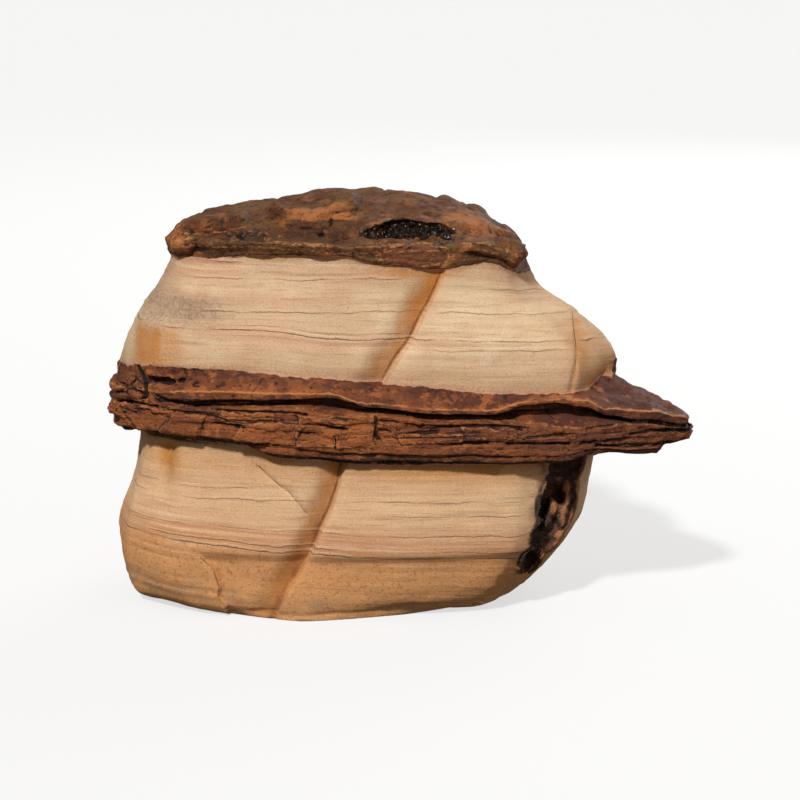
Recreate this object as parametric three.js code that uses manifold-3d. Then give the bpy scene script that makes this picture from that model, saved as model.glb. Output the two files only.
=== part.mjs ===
// A sandstone rock 200 mm across, crossed by a ledge of split ironstone and capped with an ironstone crust.
// It formed as one stone, so it is one solid. Sizes are in millimetres, +Z is up, +X is to the right seen
// from the front and the front faces -Y. The origin is the middle of the rock's box, on the flat foot.
import * as THREE from "three";
import { ImprovedNoise } from "three/addons/math/ImprovedNoise.js";
import { mergeVertices } from "three/addons/utils/BufferGeometryUtils.js";
import Module from "manifold-3d";

const wasm = await Module();
wasm.setup();
const { clamp, lerp, smoothstep } = THREE.MathUtils;

// The lower sandstone block: plans at five heights, each from the left end round the front to the back.
const LOWER_BLOCK = [
  { z: 0, plan: [[-88, 0], [-83, -15], [-62, -31], [-32, -43], [2, -35], [22, -24], [33, -12],
    [39, 3], [38, 20], [20, 34], [-10, 38], [-42, 37], [-69, 30], [-84, 15]] },
  { z: 6, plan: [[-94, 0], [-90, -21], [-69, -37], [-32, -44.5], [3, -43], [30, -36], [41, -21],
    [46, 1], [44, 20], [25, 36], [-9, 42], [-45, 41], [-73, 32], [-90, 16]] },
  { z: 24, plan: [[-97, 0], [-92, -24], [-74, -39], [-36, -44.5], [3, -46], [38, -43], [54, -30],
    [61, -4], [58, 18], [38, 38], [0, 45], [-42, 45], [-77, 36], [-93, 17]] },
  { z: 42, plan: [[-91, 0], [-88, -24], [-72, -38], [-35, -44], [3, -46], [40, -44], [59, -30],
    [66, -4], [63, 18], [42, 37], [2, 44], [-40, 43], [-73, 35], [-88, 17]] },
  { z: 60, plan: [[-88, 0], [-84, -24], [-68, -37], [-34, -44], [3, -45], [40, -43], [60, -30],
    [68, -4], [64, 18], [43, 36], [3, 43], [-38, 42], [-70, 34], [-86, 17]] },
];

// The upper sandstone block, which leans in from both ends towards the cap.
const UPPER_BLOCK = [
  { z: 73, plan: [[-96, -2], [-92, -23], [-79, -38], [-42, -44.5], [-6, -45], [32, -46], [58, -40],
    [72, -12], [69, 14], [48, 33], [8, 42], [-38, 42], [-77, 34], [-92, 16]] },
  { z: 87, plan: [[-94.5, -2], [-90, -23], [-78, -37.5], [-41, -43.5], [-5, -44.5], [32, -45.5],
    [59, -39], [73, -12], [70, 14], [48, 32], [8, 41], [-38, 41], [-75, 33], [-90, 16]] },
  { z: 99, plan: [[-89, -3], [-85, -22], [-73, -36], [-38, -42], [0, -43], [29, -43], [50, -35],
    [61, -11], [58, 12], [38, 30], [5, 38], [-36, 39], [-69, 32], [-84, 15]] },
  { z: 109, plan: [[-81.5, -4], [-78, -21], [-68, -34], [-35, -40], [1, -40.5], [23, -39.5], [39.5, -31],
    [47.5, -10], [44.5, 10], [28, 28], [0, 36], [-34, 37], [-62, 30], [-78, 13]] },
  { z: 124, plan: [[-74, -5], [-70, -21], [-59, -33], [-30, -38], [0, -38], [17, -36.5], [32, -29],
    [41, -9], [39, 10], [24, 27], [-2, 35], [-33, 36], [-57, 29], [-71, 12]] },
];

// The ironstone ledge between them, which runs out in a tongue to the right, and the cap on top.
const LEDGE_PLAN = [[-99, -4], [-96, -22], [-80, -39], [-52, -48.5], [-22, -51.5], [8, -52], [38, -51.5],
  [62, -47.5], [84, -39], [98, -30], [98, -20], [84, -4], [73, 12], [54, 36], [16, 48], [-34, 49],
  [-74, 39], [-93, 18]];
const CAP_PLAN = [[-78.5, -6], [-75, -22], [-57, -35], [-27, -41], [-2, -41], [18, -39], [34, -31],
  [43, -10], [41, 10], [25, 29], [-2, 38], [-34, 39], [-61, 31], [-76, 13]];

// Heights along the ledge and the cap, from left to right: each pair is a place on X and a height.
const LEDGE_BOTTOM = [[-100, 60], [-80, 61.5], [-52, 60.5], [-40, 57], [-10, 55], [52, 55], [65, 57.3],
  [86, 55.6], [89, 58.2], [99, 58.6]];
const PLATES_TOP = [[-100, 70], [-58, 74], [-34, 74.8], [-20, 71.8], [-6, 72.8], [3, 72.4], [10, 70.3],
  [25, 70.3], [41, 69.6], [54, 67.7], [63, 67.2], [78, 67.4], [99, 63.6]];
const SPLIT = [[-100, 71], [-75, 75.5], [-38, 77], [-22, 78], [-9, 74.8], [13, 72.4], [30, 72.2],
  [43, 75.7], [51, 75.8], [60, 74.2], [69, 70.3], [80, 68.2], [99, 64.2]];
const LIP = [[-100, 75], [-85, 77.5], [-55, 79.3], [-22, 79.3], [-11, 76.4], [13, 74.2], [30, 73.9],
  [44, 76.9], [53, 77.3], [61, 76.3], [68, 73], [84, 71], [93, 68.2], [99, 66.2]];
const LEDGE_TOP = [[-100, 79], [-91, 80], [-87, 83.8], [-80, 85.8], [-57, 85.3], [-30, 83], [0, 80.7],
  [35, 77.8], [60, 77.3], [73, 74], [80, 72.6], [92, 69.8], [99, 67]];
const CAP_FOOT = [[-80, 119.5], [-67, 121], [-46, 123], [-20, 123], [-5, 120], [13, 118.5], [28, 120],
  [44, 114]];
const CAP_RIM = [[-80, 124], [-68, 127], [-46, 127.6], [-28, 126.6], [-16, 126], [5, 126.6], [25, 126.5],
  [44, 120]];
const CAP_RIDGE = [[-80, 124.5], [-74, 128], [-65, 132], [-48, 135], [-38, 137], [-20, 139.5], [3, 138],
  [16, 136], [26, 133], [36, 126.5], [44, 120.5]];

const SPLIT_GAP = 1.3; // the open split under the upper plate
const SPLIT_REACH = 10; // how far the split and the plates' faces run in from the ledge's edge
const PLATES = [
  // share of the plates' height where each one starts and ends, how far it is set back, how far its broken
  // edge wanders, and how many breaks run round it
  { from: 0, to: 0.2, back: 3, ragged: 1.6, breaks: 14 },
  { from: 0.2, to: 0.5, back: 0.4, ragged: 1.3, breaks: 12 },
  { from: 0.5, to: 0.78, back: 0, ragged: 1.5, breaks: 14 },
  { from: 0.78, to: 1, back: 1.6, ragged: 1.8, breaks: 15 },
];

// The joints, weathered to grooves: which side of the rock each is on, how far its flanks reach to the left
// and right, how deep it is, and a run of [X, Y, Z] along the rock's face.
const JOINTS = [
  {
    side: -1, left: 12, right: 2, deep: 4,
    run: [[-5.5, -46, 80], [3.5, -44.5, 95], [15.5, -38, 119.5]],
  },
  {
    side: -1, left: 10, right: 2, deep: 4,
    run: [[-42, -43, -2], [-38.5, -45, 9], [-27, -46, 30], [-17, -45, 58]],
  },
  {
    side: -1, left: 3, right: 3, deep: 3,
    run: [[57.5, -40, 78], [58.5, -38, 88], [56, -30, 101]],
  },
  {
    side: -1, left: 3, right: 4, deep: 2.5,
    run: [[-84, -19, -1], [-83, -32, 20], [-79, -32, 44], [-77, -31, 58]],
  },
  {
    side: 1, left: 3, right: 5, deep: 3,
    run: [[-5.5, 43, 80], [4, 40, 100], [13, 34, 120]],
  },
  {
    side: 1, left: 3, right: 5, deep: 3,
    run: [[-39, 38, -2], [-29, 45, 30], [-17, 43, 58]],
  },
];

// The hollow where the lower block's right corner has broken away, and the pits in the cap.
const HOLLOWS = [
  { at: [54, -35, 30], size: [10.5, 16, 18], rough: 2 },
  { at: [49, -37, 12], size: [9, 12, 8], rough: 1.5 },
  { at: [3, -22, 131], size: [13.5, 7, 6], rough: 1 },
  { at: [4, -47, 126.5], size: [12, 9, 5], rough: 0.7 },
  { at: [12, -12, 136.5], size: [3, 4, 2.5], rough: 0.4 },
];
const CAP_LUMPS = [
  { at: [-33, -7, 130], size: [16, 11, 8], rough: 1.3 },
  { at: [27, -24, 124], size: [11, 9, 4.5], rough: 1.2 },
];

const BLOCK_COLUMNS = 66;
const BLOCK_RINGS = 8;
const CAP_COLUMNS = 60;
const JOINT_STEPS = 9;
const CORNER = 0.5; // how far the blocks' plans keep to straight sides

const perlin = new ImprovedNoise();

// Smooth noise from about -1 to 1, in lumps about `size` across.
function wander(x, y, z, size) {
  return 1.5 * perlin.noise(x / size + 31.7, y / size + 12.3, z / size + 47.9);
}

// A fixed fraction from 0 to 1 for each whole number, for breaks that fall unevenly.
function chance(n) {
  const v = Math.sin(n * 127.1 + 311.7) * 43758.5453;
  return v - Math.floor(v);
}

// The height at x of a run of [x, height] pairs, easing from each to the next.
function heightAlong(pairs, x) {
  if (x <= pairs[0][0]) return pairs[0][1];
  const next = pairs.findIndex(([px]) => px > x);
  if (next < 0) return pairs.at(-1)[1];
  const [[x0, h0], [x1, h1]] = [pairs[next - 1], pairs[next]];
  return lerp(h0, h1, smoothstep(x, x0, x1));
}

// Points round a plan with its corners softened, as [x, y].
function roundPlan(plan, count) {
  const through = plan.map(([x, y]) => new THREE.Vector3(x, y, 0));
  const curve = new THREE.CatmullRomCurve3(through, true, "centripetal");
  return Array.from({ length: count }, (_, i) => {
    const along = (i / count) * plan.length;
    const corner = through[Math.floor(along)];
    const next = through[(Math.floor(along) + 1) % plan.length];
    const { x, y } = curve.getPoint(i / count).lerp(corner.clone().lerp(next, along % 1), CORNER);
    return [x, y];
  });
}

// A solid from a geometry, and a geometry from a solid.
function solid(geometry) {
  const bare = new THREE.BufferGeometry();
  bare.setAttribute("position", geometry.getAttribute("position"));
  bare.setIndex(geometry.index);
  const merged = mergeVertices(bare, 1e-4);
  return new wasm.Manifold(new wasm.Mesh({
    numProp: 3,
    vertProperties: merged.attributes.position.array,
    triVerts: new Uint32Array(merged.index.array),
  }));
}

function geometryOf(body) {
  const mesh = body.getMesh();
  const geometry = new THREE.BufferGeometry();
  geometry.setAttribute("position", new THREE.BufferAttribute(mesh.vertProperties, 3));
  geometry.setIndex(new THREE.BufferAttribute(mesh.triVerts, 1));
  return geometry;
}

// A lathe turned once and then moulded: place(column, station) says where each of its points goes. The first
// and last stations are single points on the axis.
function mould(columns, stations, place) {
  const profile = Array.from({ length: stations }, (_, j) =>
    new THREE.Vector2(j === 0 || j === stations - 1 ? 0 : 1, j));
  const lathe = new THREE.LatheGeometry(profile, columns);
  const position = lathe.getAttribute("position");
  for (let i = 0; i <= columns; i++)
    for (let j = 0; j < stations; j++) {
      const { x, y, z } = place(i % columns, j);
      position.setXYZ(i * stations + j, x, y, z);
    }
  return solid(lathe);
}

// A sandstone block: ribs run up through its plans, and the stone's face swells gently between them.
function sandstoneBlock(levels) {
  const outlines = levels.map(({ plan }) => roundPlan(plan, BLOCK_COLUMNS));
  const ribs = Array.from({ length: BLOCK_COLUMNS }, (_, i) =>
    new THREE.CatmullRomCurve3(
      levels.map(({ z }, k) => new THREE.Vector3(...outlines[k][i], z)), false, "centripetal"));
  const bottom = levels[0].z;
  const top = levels.at(-1).z;
  return mould(BLOCK_COLUMNS, BLOCK_RINGS + 2, (i, j) => {
    if (j === 0) return new THREE.Vector3(0, 0, bottom);
    if (j === BLOCK_RINGS + 1) return new THREE.Vector3(0, 0, top);
    const p = ribs[i].getPoint((j - 1) / (BLOCK_RINGS - 1));
    const swell = wander(p.x, p.y, p.z, 34) * 1.2 + wander(p.x, p.y, p.z, 13) * 0.5;
    const reach = 1 + swell / Math.hypot(p.x, p.y);
    return new THREE.Vector3(p.x * reach, p.y * reach, p.z);
  });
}

// An outline pulled in towards the axis by `back`.
function pulledIn([x, y], back) {
  const share = 1 - back / Math.hypot(x, y);
  return [x * share, y * share];
}

// The ledge's outline broken into straight runs, each a little further in or out than the last.
function brokenOutline(plan, { back, ragged, breaks }, seed) {
  const fine = roundPlan(plan, 720);
  const offset = (k) => back + ragged * (chance(seed + (k % breaks)) * 2 - 1);
  const outline = [];
  for (let k = 0; k < breaks; k++) {
    const at = Math.round(((k + 0.6 * chance(seed + 50 + k)) / breaks) * 720) % 720;
    const middle = Math.round(((k + 0.8) / breaks) * 720) % 720;
    outline.push(pulledIn(fine[at], offset(k + breaks - 1)));
    outline.push(pulledIn(fine[(at + 3) % 720], offset(k)));
    outline.push(pulledIn(fine[middle], offset(k) + 0.3 * ragged));
  }
  return outline;
}

// A plate of the ledge: rings of one outline, each set back and at its own height, closed inside the rock
// at the heights `under` and `over`.
function plate(outline, rings, under, over) {
  return mould(outline.length, rings.length + 2, (i, j) => {
    if (j === 0) return new THREE.Vector3(0, 0, under);
    if (j === rings.length + 1) return new THREE.Vector3(0, 0, over);
    const [x, y] = pulledIn(outline[i], rings[j - 1].back);
    return new THREE.Vector3(x, y, rings[j - 1].height(x, y));
  });
}

// How far the bedding rises or falls from what the front shows, away from the front.
function bedding(x, y) {
  return wander(x, y, 0, 60) * 1.5 * smoothstep(y, -40, 30);
}

function lowerPlates() {
  const height = (share) => (x, y) =>
    lerp(heightAlong(LEDGE_BOTTOM, x), heightAlong(PLATES_TOP, x), share) + bedding(x, y) +
    0.35 * wander(x, y, share * 40, 9);
  const sunk = (share) => (x, y) => height(share)(x, y) - 2;
  const split = (x, y) => heightAlong(SPLIT, x) - SPLIT_GAP + bedding(x, y);
  return PLATES.map((layer, n) => plate(brokenOutline(LEDGE_PLAN, layer, 200 * n + 7), [
    { back: SPLIT_REACH, height: n === 0 ? height(0) : sunk(layer.from) },
    { back: 0.7, height: height(layer.from) },
    { back: 0, height: height(layer.to - 0.04) },
    { back: 0.8, height: height(layer.to) },
    { back: SPLIT_REACH, height: layer.to === 1 ? split : height(layer.to) },
  ], 50, 62));
}

function upperPlate() {
  const split = (x, y) => heightAlong(SPLIT, x) + bedding(x, y);
  const lip = (x, y) => heightAlong(LIP, x) + bedding(x, y);
  const top = (x, y) => heightAlong(LEDGE_TOP, x) + bedding(x, y) + 0.5 * wander(x, y, 3, 11);
  return plate(brokenOutline(LEDGE_PLAN, { back: 1.2, ragged: 0.8, breaks: 20 }, 911), [
    { back: SPLIT_REACH, height: split },
    { back: 0.5, height: split },
    { back: 0, height: (x, y) => lerp(split(x, y), lip(x, y), 0.6) },
    { back: 0.8, height: lip },
    { back: 5.5, height: top },
  ], 85, 92);
}

function ledgeCore() {
  return plate(roundPlan(LEDGE_PLAN, 36), [
    { back: 45, height: () => 45 },
    { back: 30, height: (x) => heightAlong(LEDGE_BOTTOM, x) + 1.5 },
    { back: SPLIT_REACH - 1, height: (x) => heightAlong(LEDGE_BOTTOM, x) + 3 },
    { back: SPLIT_REACH - 1, height: (x) => heightAlong(LIP, x) - 1 },
    { back: 45, height: () => 92 },
  ], 45, 92);
}

// The cap's top: it climbs from the front rim to a ridge behind the middle, and falls to the back.
function capTop(x, y) {
  const rim = heightAlong(CAP_RIM, x);
  const ridge = heightAlong(CAP_RIDGE, x);
  const climb = y < 6 ? smoothstep(y, -38, 6) : 1 - 0.8 * smoothstep(y, 10, 36);
  const lumps = 1.3 * wander(x, y, 7, 16) + 0.7 * wander(x, y, 3, 7);
  return lerp(rim, ridge, climb) + lumps * (1 - smoothstep(Math.hypot(x + 18, y), 52, 66));
}

function cap() {
  const outline = roundPlan(CAP_PLAN, CAP_COLUMNS).map(([x, y]) =>
    pulledIn([x, y], 1.1 * wander(x, y, 5, 9)));
  const foot = (x, y) => heightAlong(CAP_FOOT, x) + 0.4 * wander(x, y, 1, 8);
  const rings = [
    { back: 8, height: (x, y) => foot(x, y) - 2 },
    { back: 1.6, height: foot },
    { back: 0.2, height: (x, y) => foot(x, y) + 1.6 },
    { back: 0.6, height: (x, y) => lerp(foot(x, y), capTop(x, y), 0.75) },
    { back: 2.2, height: capTop },
  ];
  const shares = [0.9, 0.78, 0.64, 0.5, 0.36, 0.22, 0.1];
  return mould(outline.length, rings.length + shares.length + 2, (i, j) => {
    if (j === 0) return new THREE.Vector3(-18, 0, 112);
    if (j <= rings.length) {
      const ring = rings[j - 1];
      const [x, y] = pulledIn(outline[i], ring.back);
      return new THREE.Vector3(x, y, ring.height(x, y));
    }
    const share = shares[j - rings.length - 1] ?? 0;
    const [x, y] = [lerp(-18, outline[i][0], share), lerp(0, outline[i][1], share)];
    return new THREE.Vector3(x, y, capTop(x, y));
  });
}

// A rough lump of stone, or the space a lump leaves.
function lump({ at, size, rough }) {
  const ball = new THREE.IcosahedronGeometry(1, 3);
  const position = ball.getAttribute("position");
  const place = new THREE.Vector3(...at);
  const point = new THREE.Vector3();
  for (let i = 0; i < position.count; i++) {
    point.fromBufferAttribute(position, i);
    const out = point.clone();
    point.multiply(new THREE.Vector3(...size)).add(place);
    point.addScaledVector(out, rough * wander(point.x, point.y, point.z, 8));
    position.setXYZ(i, point.x, point.y, point.z);
  }
  return solid(ball);
}

// The wedge that opens a joint: a corner at each end of the flanks, just proud of the face, and one at the
// bottom, carried up along the run.
function jointWedge({ side, left, right, deep, run }) {
  const path = new THREE.CatmullRomCurve3(run.map((point) => new THREE.Vector3(...point)));
  return mould(3, JOINT_STEPS + 2, (i, j) => {
    const step = clamp(j, 1, JOINT_STEPS) - 1;
    const { x, y, z } = path.getPoint(step / (JOINT_STEPS - 1));
    if (j === 0 || j === JOINT_STEPS + 1) return new THREE.Vector3(x, y, z);
    const width = 1 + 0.25 * wander(x, y, z, 7);
    const corners = [[-left * width, side * 1.2], [right * width, side * 1.2], [0, -side * deep]];
    const [dx, dy] = corners[side < 0 ? i : 2 - i];
    return new THREE.Vector3(x + dx, y + dy, z);
  });
}

const beds = [sandstoneBlock(LOWER_BLOCK), ...lowerPlates(), ledgeCore(), upperPlate(),
  sandstoneBlock(UPPER_BLOCK), cap(), ...CAP_LUMPS.map(lump)];
const whole = beds.reduce((joined, bed) => joined.add(bed));
const rock = [...JOINTS.map(jointWedge), ...HOLLOWS.map(lump)]
  .reduce((left, space) => left.subtract(space), whole);

// The origin goes to the middle of the finished rock's box, on its foot.
const { min, max } = rock.boundingBox();
const geometry = geometryOf(rock).translate(-(min[0] + max[0]) / 2, -(min[1] + max[1]) / 2, 0);

const sandstone = new THREE.MeshStandardMaterial({ color: 0xd0a57a, roughness: 0.9, metalness: 0 });
const mesh = new THREE.Mesh(geometry, sandstone);
mesh.name = "sandstone_rock";
const group = new THREE.Group();
group.add(mesh);
export default group;
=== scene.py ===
# %% [markdown]
# # A sandstone rock with an ironstone ledge and cap
# This rock began as sand, laid down in thin level beds. Water carried iron through it and left two seams of
# hard brown ironstone: one makes the ledge that crosses the rock, and one makes the crust on top. The soft
# sandstone between them has weathered back, and a slanting joint has opened to a groove.
# The rock is one stone, so it becomes one mesh here. Each bed is made as a closed shape, the beds are fused
# by a fine remesh, and the skin is then carved in numbers, as a sculptor would work over a rough-out.

# %% The frame that the rock has to fit
import math
import bpy
import numpy as np
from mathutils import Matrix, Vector


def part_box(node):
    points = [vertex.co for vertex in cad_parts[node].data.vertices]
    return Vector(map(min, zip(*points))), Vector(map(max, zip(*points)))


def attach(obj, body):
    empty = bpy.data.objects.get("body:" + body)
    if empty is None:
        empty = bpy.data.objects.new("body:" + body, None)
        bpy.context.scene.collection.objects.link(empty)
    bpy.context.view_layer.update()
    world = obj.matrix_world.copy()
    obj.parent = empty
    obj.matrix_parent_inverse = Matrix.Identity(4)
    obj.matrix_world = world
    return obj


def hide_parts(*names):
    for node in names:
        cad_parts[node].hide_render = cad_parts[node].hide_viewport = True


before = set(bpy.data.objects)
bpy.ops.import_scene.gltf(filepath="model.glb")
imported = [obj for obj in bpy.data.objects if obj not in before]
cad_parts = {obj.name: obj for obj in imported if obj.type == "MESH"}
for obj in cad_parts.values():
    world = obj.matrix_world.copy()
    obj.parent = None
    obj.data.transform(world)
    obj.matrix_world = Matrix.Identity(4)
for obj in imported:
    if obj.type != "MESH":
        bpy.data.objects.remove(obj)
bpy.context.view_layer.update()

MM = 0.001
ROCK_NODE = "sandstone_rock"
cad_low, cad_high = np.array(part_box(ROCK_NODE)) / MM
print("the rock's box in mm:", np.round(cad_low, 1), np.round(cad_high, 1))

# %% [markdown]
# ## The camera
# The photograph looks at the rock's front from a little above, so that the top of the ledge's tongue just
# shows. The camera stands 0.8 m away and aims at the middle of the rock.

# %% Camera
VIEW_HEIGHT = math.radians(12)
VIEW_DISTANCE = 0.8
AIM = (0.0006, 0, 0.067)

bpy.ops.object.camera_add(
    location=(AIM[0], AIM[1] - VIEW_DISTANCE * math.cos(VIEW_HEIGHT),
              AIM[2] + VIEW_DISTANCE * math.sin(VIEW_HEIGHT)),
    rotation=(math.pi / 2 - VIEW_HEIGHT, 0, 0))
camera = bpy.context.object
camera.data.angle = math.radians(19.6)
bpy.context.scene.camera = camera

# %% [markdown]
# ## The plans of the beds
# A rock has no straight edges to measure, so each bed is described as a surveyor would: its outline in plan
# at a few heights, and the heights along its seams from left to right. All are in millimetres, with the
# front towards -Y, and each outline runs from the left end round the front to the back.

# %% Plans and seams
LOWER_BLOCK = [
    (0, [(-88, 0), (-83, -15), (-62, -31), (-32, -43), (2, -35), (22, -24), (33, -12),
         (39, 3), (38, 20), (20, 34), (-10, 38), (-42, 37), (-69, 30), (-84, 15)]),
    (6, [(-94, 0), (-90, -21), (-69, -37), (-32, -44.5), (3, -43), (30, -36), (41, -21),
         (46, 1), (44, 20), (25, 36), (-9, 42), (-45, 41), (-73, 32), (-90, 16)]),
    (24, [(-97, 0), (-92, -24), (-74, -39), (-36, -44.5), (3, -46), (38, -43), (54, -30),
          (61, -4), (58, 18), (38, 38), (0, 45), (-42, 45), (-77, 36), (-93, 17)]),
    (42, [(-91, 0), (-88, -24), (-72, -38), (-35, -44), (3, -46), (40, -44), (59, -30),
          (66, -4), (63, 18), (42, 37), (2, 44), (-40, 43), (-73, 35), (-88, 17)]),
    (60, [(-88, 0), (-84, -24), (-68, -37), (-34, -44), (3, -45), (40, -43), (60, -30),
          (68, -4), (64, 18), (43, 36), (3, 43), (-38, 42), (-70, 34), (-86, 17)]),
]
UPPER_BLOCK = [
    (73, [(-96, -2), (-92, -23), (-79, -38), (-42, -44.5), (-6, -45), (32, -46), (58, -40),
          (72, -12), (69, 14), (48, 33), (8, 42), (-38, 42), (-77, 34), (-92, 16)]),
    (87, [(-94.5, -2), (-90, -23), (-78, -37.5), (-41, -43.5), (-5, -44.5), (32, -45.5), (59, -39),
          (73, -12), (70, 14), (48, 32), (8, 41), (-38, 41), (-75, 33), (-90, 16)]),
    (99, [(-89, -3), (-85, -22), (-73, -36), (-38, -42), (0, -43), (29, -43), (50, -35),
          (61, -11), (58, 12), (38, 30), (5, 38), (-36, 39), (-69, 32), (-84, 15)]),
    (109, [(-81.5, -4), (-78, -21), (-68, -34), (-35, -40), (1, -40.5), (23, -39.5), (39.5, -31),
           (47.5, -10), (44.5, 10), (28, 28), (0, 36), (-34, 37), (-62, 30), (-78, 13)]),
    (124, [(-74, -5), (-70, -21), (-59, -33), (-30, -38), (0, -38), (17, -36.5), (32, -29),
           (41, -9), (39, 10), (24, 27), (-2, 35), (-33, 36), (-57, 29), (-71, 12)]),
]
LEDGE_PLAN = [(-99, -4), (-96, -22), (-80, -39), (-52, -48.5), (-22, -51.5), (8, -52), (38, -51.5),
              (62, -47.5), (84, -39), (98, -30), (98, -20), (84, -4), (73, 12), (54, 36), (16, 48),
              (-34, 49), (-74, 39), (-93, 18)]
CAP_PLAN = [(-78.5, -6), (-75, -22), (-57, -35), (-27, -41), (-2, -41), (18, -39), (34, -31),
            (43, -10), (41, 10), (25, 29), (-2, 38), (-34, 39), (-61, 31), (-76, 13)]

LEDGE_BOTTOM = [(-100, 60), (-80, 61.5), (-52, 60.5), (-40, 57), (-10, 55), (52, 55), (65, 57.3), (86, 55.6),
                (89, 58.2), (99, 58.6)]
PLATES_TOP = [(-100, 70), (-58, 74), (-34, 74.8), (-20, 71.8), (-6, 72.8), (3, 72.4), (10, 70.3), (25, 70.3),
              (41, 69.6), (54, 67.7), (63, 67.2), (78, 67.4), (99, 63.6)]
SPLIT = [(-100, 71), (-75, 75.5), (-38, 77), (-22, 78), (-9, 74.8), (13, 72.4), (30, 72.2), (43, 75.7),
         (51, 75.8), (60, 74.2), (69, 70.3), (80, 68.2), (99, 64.2)]
LIP = [(-100, 75), (-85, 77.5), (-55, 79.3), (-22, 79.3), (-11, 76.4), (13, 74.2), (30, 73.9), (44, 76.9),
       (53, 77.3), (61, 76.3), (68, 73), (84, 71), (93, 68.2), (99, 66.2)]
LEDGE_TOP = [(-100, 81.5), (-92, 82.5), (-87, 84.5), (-80, 85.8), (-57, 85.3), (-30, 83), (0, 80.7),
             (35, 77.8), (60, 77.3), (73, 74), (80, 72.6), (92, 69.8), (99, 67)]
CAP_FOOT = [(-80, 119.5), (-67, 121), (-46, 123), (-20, 123), (-5, 120), (13, 118.5), (28, 120), (44, 114)]
CAP_RIM = [(-80, 124), (-68, 127), (-46, 127.6), (-28, 126.6), (-16, 126), (5, 126.6), (25, 126.5),
           (44, 120)]
CAP_RIDGE = [(-80, 124.5), (-74, 128), (-65, 132), (-48, 135), (-38, 137), (-20, 139.5), (3, 138),
             (16, 136), (26, 133), (36, 126.5), (44, 120.5)]


# %% [markdown]
# ## Curves and noise
# Two kinds of helper do most of the shaping. The first reads smooth curves through the plans and seams. The
# second is noise: a value fixed for each point of space that wanders smoothly between -1 and 1. Stone needs
# many sizes of it, so it is worked out for all the mesh's points at once.

# %% Curves
def ease(value, low, high):
    """0 below low, 1 above high and a smooth step between."""
    t = np.clip((value - low) / (high - low), 0, 1)
    return t * t * (3 - 2 * t)


def along(run, x):
    """The height at x of a run of (x, height) pairs, easing from each to the next."""
    xs, heights = np.array(run, float).T
    k = np.clip(np.searchsorted(xs, x, side="right") - 1, 0, len(xs) - 2)
    return heights[k] + (heights[k + 1] - heights[k]) * ease(x, xs[k], xs[k + 1])


def smooth_curve(knots, s, closed):
    """Points at s knots along a smooth curve through the first axis of knots."""
    knots = np.asarray(knots, float)
    count = len(knots)
    k = np.floor(s).astype(int) if closed else np.minimum(np.floor(s).astype(int), count - 2)
    t = (s - k).reshape(-1, *[1] * (knots.ndim - 1))
    pick = (lambda j: knots[(k + j) % count]) if closed else (lambda j: knots[np.clip(k + j, 0, count - 1)])
    a, b, c, d = pick(-1), pick(0), pick(1), pick(2)
    return 0.5 * (2 * b + (c - a) * t + (2 * a - 5 * b + 4 * c - d) * t**2 + (3 * b - a - 3 * c + d) * t**3)


def round_plan(plan, count, straight=0.5):
    """Points round a plan with its corners softened: straight is how far it keeps to straight sides."""
    plan = np.array(plan, float)
    s = np.arange(count) / count * len(plan)
    k = s.astype(int)
    sides = plan[k] + (plan[(k + 1) % len(plan)] - plan[k]) * (s - k)[:, None]
    curve = smooth_curve(plan, s, closed=True)
    return curve + (sides - curve) * straight


def pulled_in(outline, back):
    """An outline pulled in towards the axis by back, which may differ from point to point."""
    reach = np.hypot(outline[:, 0], outline[:, 1])
    return outline * (1 - back / reach)[:, None]


# %% Noise
def fixed_chance(*whole, seed=0):
    """A fixed number from -1 to 1 for each set of whole numbers."""
    mixed = np.full(np.broadcast(*whole).shape, seed * 7919 + 104729, np.int64)
    for n, prime in zip(whole, (73856093, 19349663, 83492791)):
        mixed ^= np.asarray(n, np.int64) * prime
        mixed = (mixed ^ (mixed >> 15)) * 2246822519 & 0x7FFFFFFF
    return (mixed & 0xFFFFF) / 0x7FFFF - 1


def noise(points, size, seed=0):
    """Smooth noise from -1 to 1 with lumps of a size, or of three sizes along X, Y and Z."""
    places = points / np.asarray(size, float)
    cell = np.floor(places).astype(np.int64)
    t = places - cell
    t = t * t * t * (t * (t * 6 - 15) + 10)
    total = 0
    for corner in np.ndindex(2, 2, 2):
        weight = np.prod(np.where(corner, t, 1 - t), axis=1)
        total = total + weight * fixed_chance(*(cell + corner).T, seed=seed)
    return total


def rough(points, size, octaves=3, seed=0):
    """Noise with finer and weaker noise laid over it."""
    size = np.asarray(size, float)
    return sum(noise(points, size / 2**k, seed + k) / 2**k for k in range(octaves))


def creases(points, size, seed=0):
    """Noise folded into sharp valleys: 0 in a valley and up to 1 between."""
    return np.minimum(np.abs(noise(points, size, seed)) * 3, 1)


def terraced(points, size, steps, seed=0):
    """Noise cut into flat steps, as broken stone is."""
    wander = noise(points, size, seed) * steps
    low = np.floor(wander)
    return (low + ease(wander - low, 0.35, 0.65)) / steps


def runs_of_chance(s, count, seed):
    """Steps round an outline: s goes from 0 to 1, and each of count uneven runs keeps one fixed value."""
    where = s * count + 0.9 * fixed_chance(np.floor(s * count), seed=seed + 5) * 0.5
    return fixed_chance(np.floor(where) % count, seed=seed)


print("noise of a test point:", noise(np.array([[10.0, 20.0, 30.0]]), 7))


# %% [markdown]
# ## Making one bed
# Every bed starts as a flat disc, which is extruded upwards ring by ring into a drum. Its rings are then
# pulled to the outline they should have at their height. This is what a potter does with a drum of clay, and
# it leaves a closed shape with an even grid, which the later steps need.

# %% A bed from its rings
def coordinates(piece):
    flat = np.empty(len(piece.data.vertices) * 3)
    piece.data.vertices.foreach_get("co", flat)
    return flat.reshape(-1, 3) / MM


def set_coordinates(piece, points):
    piece.data.vertices.foreach_set("co", (points * MM).ravel())
    piece.data.update()


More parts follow.
